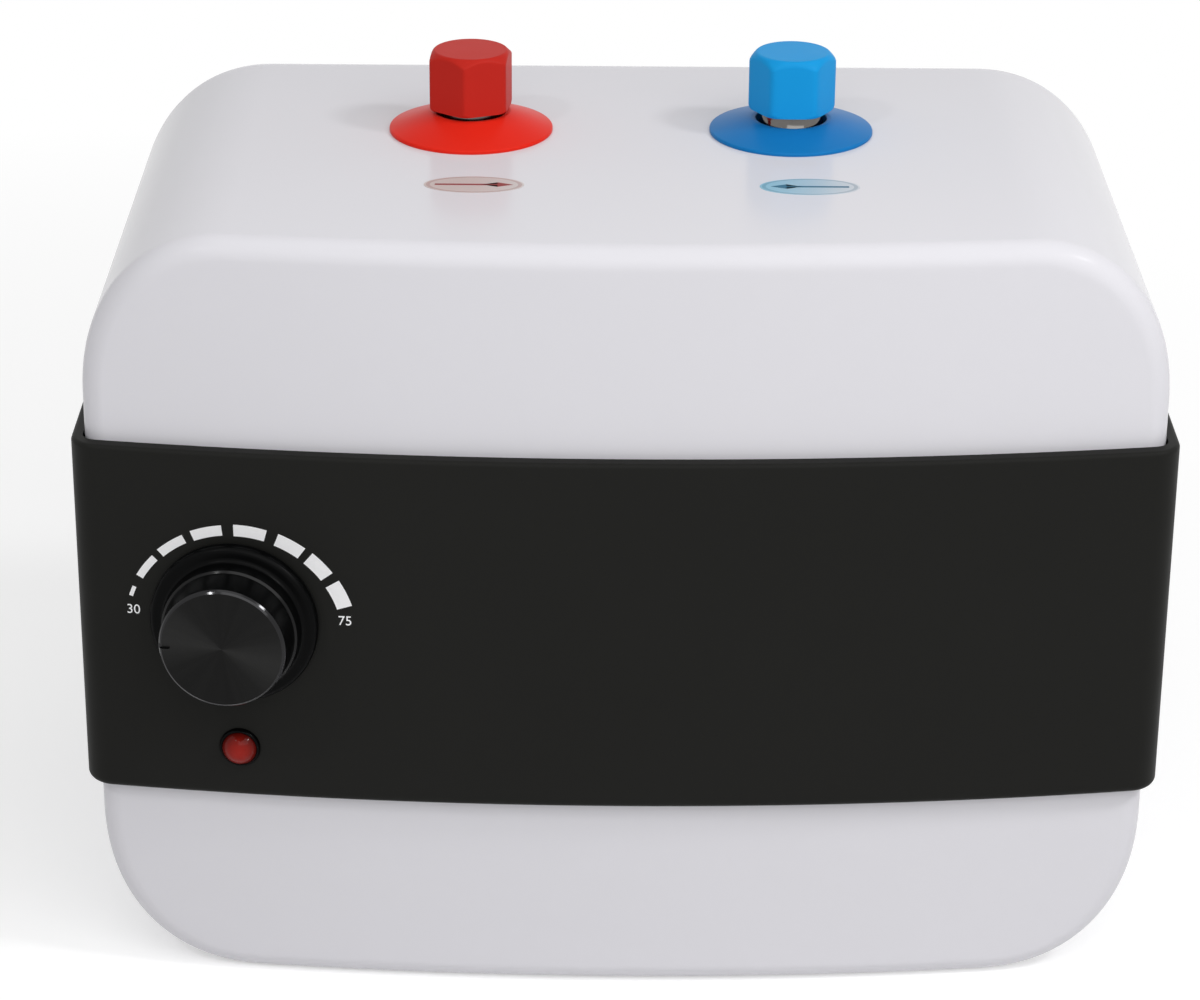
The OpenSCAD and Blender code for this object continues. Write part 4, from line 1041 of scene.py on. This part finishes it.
class HEATER_OT_lamp(bpy.types.Operator):
    """Makes the lamp: black holder with a rim, red domed lens"""

    bl_idname = "heater.lamp"
    bl_label = "Lamp"

    def execute(self, context):
        b = context.scene.heater_belt
        c = context.scene.heater_controls
        place = front_place(c.lamp_drop)
        seat = b.front - 0.4 * MM
        rim = c.rim / 2
        lens = c.lens / 2
        barrel = lens - 0.3 * MM
        deep = -18.5 * MM
        base, crown = seat + 1 * MM, seat + 1.8 * MM
        mouth, bore, end = lens + 0.05 * MM, barrel - 1.5 * MM, deep + 2 * MM
        corners = [
            (mouth, base), (mouth, crown), (rim, crown), (rim, seat), (barrel, seat), (barrel, deep),
            (0, deep), (0, end), (bore, end), (bore, base),
        ]
        radii = np.array([0, 0.2, 0.7, 0, 0, 0, 0, 0, 0, 0]) * MM
        holder = make_piece("lamp_rim", [revolve(rounded(corners, radii, 6, closed=True), place, 96)])
        gloss = moulded_plastic("lamp_rim_plastic", c.knob_tint, 0.2, spread=0.1, level=0.05)
        dress(holder, "heater", gloss, "black_plastic", "lamp_holder")

        rise = 3.6 * MM
        dome = (lens ** 2 + rise ** 2) / (2 * rise)
        a = np.linspace(0, asin(lens / dome), 25)
        cap = np.column_stack([dome * np.sin(a), base + 0.8 * MM + rise - dome + dome * np.cos(a)])
        stem = barrel - 1.55 * MM
        foot = [(lens, base), (stem, base), (stem, base - 5 * MM), (0, base - 5 * MM)]
        clear = lamp_plastic("lamp_lens", c.lens_tint, place, lens)
        piece = make_piece("lamp_dome", [revolve(np.concatenate([cap, foot]), place, 96, closed=False)])
        dress(piece, "heater", clear, "lens_plastic", "lamp_lens")
        return {"FINISHED"}


def softer(a, b, softness):
    """Smooth minimum of two lengths: the smaller one, with a fillet of a given softness where they meet."""
    h = np.clip(0.5 + 0.5 * (b - a) / softness, 0, 1)
    return b * (1 - h) + a * h - softness * h * (1 - h)


def cap_shell(p, place, low, high, turn, crisp, softness, top_edge):
    """Hexagonal cap with a blind bore: at each angle a revolved limit profile is held inside a soft hexagon.
    The hexagon's radius is the half width over the p-norm of the cosines of the angles to its six flats."""
    a = np.linspace(0, 2 * pi, 384, endpoint=False)
    flats = turn + radians(30) + np.arange(6) * pi / 3
    toward = np.maximum(np.cos(a[None, :] - flats[:, None]), 0)
    hexagon = p.flats / 2 / (toward ** crisp).sum(axis=0) ** (1 / crisp)
    reach = p.flats / 2 / cos(radians(30))
    tall = high - low
    corners = [
        (0, tall), (reach - p.bevel, tall), (reach + 0.6 * MM, tall - p.bevel - 0.6 * MM),
        (reach + 0.6 * MM, p.chamfer + 0.6 * MM), (reach - p.chamfer, 0), (p.bore, 0), (p.bore, p.bore_depth),
        (0, p.bore_depth),
    ]
    radii = np.array([0, top_edge / MM, 0, 0, 0.2, 0.25, 0.3, 0]) * MM
    coarse = rounded(corners, radii, 8)
    step = np.linalg.norm(np.diff(coarse, axis=0), axis=1)
    run = np.concatenate([[0], np.cumsum(step)])
    fine = np.unique(np.concatenate([run, np.arange(0, run[-1], 0.36 * MM)]))
    limit = np.column_stack([np.interp(fine, run, coarse[:, 0]), np.interp(fine, run, coarse[:, 1])])
    r = softer(limit[:, :1], hexagon[None, :], softness)
    local = np.stack([r * np.cos(a), r * np.sin(a), limit[:, 1:] + 0 * r], axis=-1)
    return place.put(local.reshape(-1, 3)), grid_quads(len(limit), len(a), False, True)


class HEATER_OT_caps(bpy.types.Operator):
    """Makes the red and the blue screw cap"""

    bl_idname = "heater.caps"
    bl_label = "Caps"

    def execute(self, context):
        p = context.scene.heater_ports
        hot = port_place(HOT_CAP_LOW, HOT_CAP_HIGH, HOT_CAP_LOW.z)
        cold = port_place(COLD_CAP_LOW, COLD_CAP_HIGH, COLD_CAP_LOW.z)
        red = moulded_plastic(
            "red_cap", p.hot_cap, 0.42, peel=0.02 * MM, grain=0.01 * MM, spread=0.07, level=0.07
        )
        blue = moulded_plastic(
            "blue_cap", p.cold_cap, 0.40, peel=0.02 * MM, grain=0.008 * MM, spread=0.05, level=0.07
        )
        shell = cap_shell(p, hot, HOT_CAP_LOW.z, HOT_CAP_HIGH.z, p.hot_turn, 34, 0.5 * MM, 1.1 * MM)
        dress(make_piece("cap_red", [shell], 60), "hot_cap", red, "red_plastic", "hot_cap")
        shell = cap_shell(p, cold, COLD_CAP_LOW.z, COLD_CAP_HIGH.z, 0, 22, 1.1 * MM, 1.6 * MM)
        dress(make_piece("cap_blue", [shell], 60), "cold_cap", blue, "blue_plastic", "cold_cap")
        return {"FINISHED"}


class HEATER_OT_collars(bpy.types.Operator):
    """Makes the sloped collars under the caps"""

    bl_idname = "heater.collars"
    bl_label = "Collars"

    def execute(self, context):
        p = context.scene.heater_ports
        hole = p.neck / 2 + 0.3 * MM
        rim = 1.2 * MM
        for name, low, high, tint, slot, node in (
            ("collar_red", HOT_COLLAR_LOW, HOT_COLLAR_HIGH, p.hot_collar, "red_plastic", "hot_collar"),
            ("collar_blue", COLD_COLLAR_LOW, COLD_COLLAR_HIGH, p.cold_collar, "blue_plastic", "cold_collar"),
        ):
            outer = (high.x - low.x) / 2
            tall = high.z - low.z
            corners = [(hole, 0), (outer, 0), (outer, rim), (hole + 1.4 * MM, tall), (hole, tall)]
            radii = np.array([0, 0.2, 0.7, 1.5, 0.3]) * MM
            profile = rounded(corners, radii, 8, closed=True)
            soft = moulded_plastic(
                name + "_plastic", tint, 0.33, peel=0.012 * MM, grain=0.006 * MM, spread=0.04, level=0.06
            )
            shell = revolve(profile, port_place(low, high, low.z), 160)
            dress(make_piece(name, [shell]), "heater", soft, slot, node)
        return {"FINISHED"}


def nipple_shell(p, place, low, high, foot):
    """Nipple with a pipe thread above a run-out groove: a turned profile whose threaded rows are drawn in by
    the thread's depth times a rounded saw of height over pitch less angle over a turn; its ends run out."""
    a = np.linspace(0, 2 * pi, 96, endpoint=False)[None, :]
    crest = p.thread / 2
    neck = p.neck / 2
    depth = 1.162 * MM
    start = foot + p.relief
    rows = np.arange(start, high - 0.4 * MM, p.pitch / 14)
    run_out = 1.2 * MM
    fade = np.clip(np.minimum(rows - start, high - rows) / run_out, 0, 1)
    groove = crest - 0.5 * depth
    shoulder = groove + 0.8 * MM
    climb = np.minimum(groove + rows - start, crest)
    profile = np.concatenate([
        [(p.waterway / 2, low), (neck, low), (neck, foot), (shoulder, foot + 0.8 * MM)],
        [(shoulder, foot + 1.6 * MM), (groove, foot + 2.65 * MM), (groove, start - 0.05 * MM)],
        np.column_stack([climb, rows]),
        [(crest - 1.0 * MM, high), (p.waterway / 2 + 0.4 * MM, high), (p.waterway / 2, high - 0.4 * MM)],
    ])
    drawn = np.concatenate([np.zeros(7), fade, np.zeros(3)])[:, None] * depth
    turn = profile[:, 1:] / p.pitch - a / (2 * pi)
    saw = np.abs(2 * (turn - np.floor(turn)) - 1)
    saw = 0.5 - 0.5 * np.cos(pi * np.clip(saw * 1.15 - 0.075, 0, 1))
    r = profile[:, :1] - drawn * saw
    local = np.stack([r * np.cos(a), r * np.sin(a), profile[:, 1:] - low + 0 * r], axis=-1)
    return place.put(local.reshape(-1, 3)), grid_quads(len(profile), a.shape[1], True, True)


class HEATER_OT_nipples(bpy.types.Operator):
    """Makes the chromed nipples with their pipe threads"""

    bl_idname = "heater.nipples"
    bl_label = "Nipples"

    def execute(self, context):
        s = context.scene.heater_housing
        p = context.scene.heater_ports
        # Below the caps' seat the nipples' chrome is painted dark as shade.
        chrome = polished_chrome("chromed_brass", HOT_CAP_LOW.z)
        for name, low, high, node in (
            ("nipple_hot", HOT_NIPPLE_LOW, HOT_NIPPLE_HIGH, "hot_nipple"),
            ("nipple_cold", COLD_NIPPLE_LOW, COLD_NIPPLE_HIGH, "cold_nipple"),
        ):
            place = port_place(low, high, low.z)
            shell = nipple_shell(p, place, low.z, high.z, s.height + p.shank)
            dress(make_piece(name, [shell], 50), "heater", chrome, "chromed_brass", node)
        return {"FINISHED"}


def oval(half_x, half_y, steps=96):
    """Outline of an ellipse."""
    a = np.linspace(0, 2 * pi, steps, endpoint=False)
    return np.column_stack([half_x * np.cos(a), half_y * np.sin(a)])


def arrow(run, shaft, head, head_run, way):
    """Outline of a slim arrow along x: a shaft with a pointed head at one end."""
    neck = run / 2 - head_run
    tail = -run / 2
    outline = np.array([
        (tail, -shaft), (neck, -shaft), (neck, -head), (run / 2, 0), (neck, head), (neck, shaft),
        (tail, shaft),
    ])
    return outline * [way, 1]


class HEATER_OT_stickers(bpy.types.Operator):
    """Lays the two oval stickers, one before each port, with a plain arrow on each"""

    bl_idname = "heater.stickers"
    bl_label = "Stickers"

    def execute(self, context):
        top = context.scene.heater_housing.height
        half = (16.0 * MM, 7.9 * MM)
        for name, at, pale, far, edge, way, slot in (
            (
                "hot", (-48.8 * MM, -39.3 * MM), (0.58, 0.50, 0.48), (0.62, 0.57, 0.56), (0.25, 0.03, 0.03),
                1, "red_plastic",
            ),
            (
                "cold", (58.3 * MM, -39.3 * MM), (0.27, 0.53, 0.66), (0.60, 0.62, 0.67), (0.03, 0.14, 0.22),
                -1, "blue_plastic",
            ),
        ):
            place = Place((at[0], at[1], top))
            film = sticker_film("sticker_" + name, pale, far, edge, (at[0], at[1], top), half)
            plate = make_piece("sticker_" + name, [slab(place, oval(*half), -0.05 * MM, 0.10 * MM)])
            dress(plate, "heater", film, slot)
            outline = arrow(25 * MM, 0.65 * MM, 2.1 * MM, 5.0 * MM, way)
            sign = make_piece("arrow_" + name, [slab(place, outline, 0.05 * MM, 0.14 * MM)])
            dress(sign, "heater", printed_ink("arrow_ink_" + name, edge), slot)
        return {"FINISHED"}


def plain_finishes(scene):
    """The finish of each slot of the record, for the nodes that keep their own shape."""
    s = scene.heater_housing
    c = scene.heater_controls
    p = scene.heater_ports
    return {
        "white_plastic": moulded_plastic("cover_plastic", s.tint, 0.28, spread=0.012),
        "belt_plastic": moulded_plastic("belt_inner_plastic", scene.heater_belt.tint, 0.5),
        "black_plastic": moulded_plastic("black_plastic", c.knob_tint, 0.34, spread=0.1),
        "dark_aluminium": worked_metal("dark_aluminium", (0.05, 0.05, 0.05), 0.3),
        "red_plastic": moulded_plastic("red_plastic", p.hot_cap, 0.4),
        "blue_plastic": moulded_plastic("blue_plastic", p.cold_cap, 0.4),
        "lens_plastic": moulded_plastic("lens_plastic", c.lens_tint, 0.12),
        "chromed_brass": polished_chrome("chrome", HOT_CAP_LOW.z),
        "zinc_steel": worked_metal("zinc_steel", (0.56, 0.56, 0.54), 0.34, depth=0.006 * MM),
        "enamel": glassy_enamel("tank_enamel", (0.10, 0.14, 0.22)),
        "stainless": worked_metal("stainless", (0.58, 0.57, 0.55), 0.28, (1.0, 1.0, 0.15)),
        "foam": cellular_foam("foam", (0.66, 0.52, 0.26)),
        "rubber": moulded_plastic("rubber", (0.02, 0.02, 0.02), 0.72, peel=0.02 * MM, grain=0.02 * MM),
        "pipe_plastic": moulded_plastic("pipe_plastic", (0.72, 0.72, 0.69), 0.4),
        "insulator": moulded_plastic("insulator", (0.70, 0.66, 0.56), 0.55, grain=0.01 * MM),
        "copper": worked_metal("copper", (0.56, 0.22, 0.11), 0.3),
        "magnesium": worked_metal("magnesium", (0.42, 0.42, 0.41), 0.55, depth=0.02 * MM),
        "bakelite": moulded_plastic("bakelite", (0.03, 0.018, 0.012), 0.35, spread=0.2),
        "button_plastic": moulded_plastic("button_plastic", (0.55, 0.03, 0.02), 0.35),
        "brown_wire": moulded_plastic("brown_wire", (0.12, 0.045, 0.016), 0.45),
        "blue_wire": moulded_plastic("blue_wire", (0.02, 0.09, 0.36), 0.45),
        "grey_wire": moulded_plastic("grey_wire", (0.22, 0.22, 0.22), 0.45),
    }


class HEATER_OT_fittings(bpy.types.Operator):
    """Gives every node that keeps its own shape the finish of its slot"""

    bl_idname = "heater.fittings"
    bl_label = "Fittings"

    def execute(self, context):
        finishes = plain_finishes(context.scene)
        slots = {part["node"]: part["material_slot"] for part in frame["record"]["subparts"]}
        for name, node in frame["nodes"].items():
            node.data.materials.clear()
            node.data.materials.append(finishes[slots[name]].material)
        return {"FINISHED"}


def seen_directly(finish):
    """1 for camera, glossy and transmission rays, else 0."""
    path = finish.node("ShaderNodeLightPath").socket.node.outputs
    camera = Sock(finish, path["Is Camera Ray"])
    mirrored = Sock(finish, path["Is Glossy Ray"])
    return camera.larger(mirrored).larger(Sock(finish, path["Is Transmission Ray"]))


def white_floor(radius):
    """Pale floor: plain white to the light; seen directly it glows a little too, and is all white far out."""
    finish = Finish("studio_floor")
    x, y, _ = finish.parts(finish.place())
    seen = seen_directly(finish)
    aside = x + 0.25
    away = (aside * aside + y * y).root() / radius
    far = finish.ramp(away, [(0.0, 0.0), (0.08, 0.0), (0.20, 1.0)])
    lit = finish.node("ShaderNodeBsdfDiffuse", None, {"Color": (0.83, 0.83, 0.83, 1.0)})
    glow = finish.node("ShaderNodeEmission", None, {"Color": (1, 1, 1, 1), "Strength": seen * 0.40})
    near = finish.node("ShaderNodeAddShader", None, {0: lit, 1: glow})
    white = finish.node("ShaderNodeEmission", None, {"Color": (1, 1, 1, 1), "Strength": 1.0})
    mixed = finish.node("ShaderNodeMixShader", None, {0: far * seen, 1: near, 2: white})
    finish.node("ShaderNodeOutputMaterial", None, {"Surface": mixed})
    return finish


def white_world(sky):
    """White all round where it is seen directly, and an even, weaker light everywhere else."""
    world = bpy.data.worlds.new("studio_world")
    finish = Finish.__new__(Finish)
    finish.start(world)
    strength = seen_directly(finish) * (1.0 - sky) + sky
    light = finish.node("ShaderNodeBackground", None, {"Color": (1, 1, 1, 1), "Strength": strength})
    finish.node("ShaderNodeOutputWorld", None, {"Surface": light})
    return world


def softbox(name, at, toward, size, power):
    """Flat lamp of a width and a height at a point, turned to another."""
    lamp = bpy.data.lights.new(name, "AREA")
    lamp.shape = "RECTANGLE"
    lamp.size, lamp.size_y = size
    lamp.energy = power
    holder = link_object(name, lamp)
    way = (Vector(toward) - Vector(at)).to_track_quat("-Z", "Y")
    holder.matrix_world = Matrix.Translation(Vector(at)) @ way.to_matrix().to_4x4()
    holder.visible_camera = False


class HEATER_OT_studio(bpy.types.Operator):
    """Sets up the camera, the white floor and world, and the soft lamps"""

    bl_idname = "heater.studio"
    bl_label = "Studio"

    def execute(self, context):
        g = context.scene.heater_studio
        scene = context.scene
        scene.view_settings.view_transform = "Standard"
        ahead = Vector((sin(g.yaw) * cos(g.pitch), cos(g.yaw) * cos(g.pitch), -sin(g.pitch)))
        right = Vector((cos(g.yaw), -sin(g.yaw), 0.0))
        up = right.cross(ahead)
        rolled_right = cos(g.roll) * right + sin(g.roll) * up
        rolled_up = cos(g.roll) * up - sin(g.roll) * right
        lens = bpy.data.cameras.new("camera")
        lens.lens = g.lens
        lens.sensor_width = 36.0
        lens.sensor_fit = "HORIZONTAL"
        lens.clip_end = 20.0
        camera = link_object("camera", lens)
        turn = Matrix((rolled_right, rolled_up, -ahead)).transposed()
        camera.matrix_world = Matrix.Translation(g.eye) @ turn.to_4x4()
        scene.camera = camera

        circle = oval(g.floor_radius, g.floor_radius, 128)
        ground = Place((0, 0, -0.05 * MM))
        floor = make_piece("studio_floor", [slab(ground, circle, -2 * MM, 0.0)])
        floor.data.materials.append(white_floor(g.floor_radius).material)
        scene.world = white_world(g.sky)
        aim = (0.0, 0.0, 0.15)
        softbox("key", (1.22, -0.50, 1.32), aim, (0.22, 0.22), g.key)
        softbox("fill", (-0.78, -0.88, 1.26), aim, (0.08, 0.08), g.fill)
        softbox("front", (0.24, -0.74, 0.80), aim, (1.2, 0.7), g.front)
        softbox("top", (0.05, -0.15, 1.70), aim, (1.2, 0.7), g.top)
        return {"FINISHED"}


class HEATER_PT_panel(bpy.types.Panel):
    """Sizes, colours and steps of the heater"""

    bl_idname = "HEATER_PT_panel"
    bl_label = "Water Heater"
    bl_space_type = "VIEW_3D"
    bl_region_type = "UI"
    bl_category = "Water Heater"

    def draw(self, context):
        for operator in OPERATORS:
            self.layout.operator(operator.bl_idname)
        for name, group in GROUPS.items():
            box = self.layout.box()
            box.label(text=group.__doc__)
            settings = getattr(context.scene, name)
            for key in group.__annotations__:
                box.prop(settings, key)


OPERATORS = (
    HEATER_OT_fittings,
    HEATER_OT_housings,
    HEATER_OT_belt,
    HEATER_OT_knob,
    HEATER_OT_dial,
    HEATER_OT_lamp,
    HEATER_OT_nipples,
    HEATER_OT_collars,
    HEATER_OT_caps,
    HEATER_OT_stickers,
    HEATER_OT_studio,
)


def register():
    """Registers the settings, the operators and the panel."""
    for name, group in GROUPS.items():
        bpy.utils.register_class(group)
        setattr(bpy.types.Scene, name, PointerProperty(type=group))
    for operator in OPERATORS:
        bpy.utils.register_class(operator)
    bpy.utils.register_class(HEATER_PT_panel)


def unregister():
    """Takes the panel, the operators and the settings away again."""
    bpy.utils.unregister_class(HEATER_PT_panel)
    for operator in reversed(OPERATORS):
        bpy.utils.unregister_class(operator)
    for name, group in reversed(GROUPS.items()):
        delattr(bpy.types.Scene, name)
        bpy.utils.unregister_class(group)


def main():
    """Builds everything in order."""
    register()
    for operator in OPERATORS:
        group, name = operator.bl_idname.split(".")
        getattr(getattr(bpy.ops, group), name)()


if __name__ == "__main__":
    main()
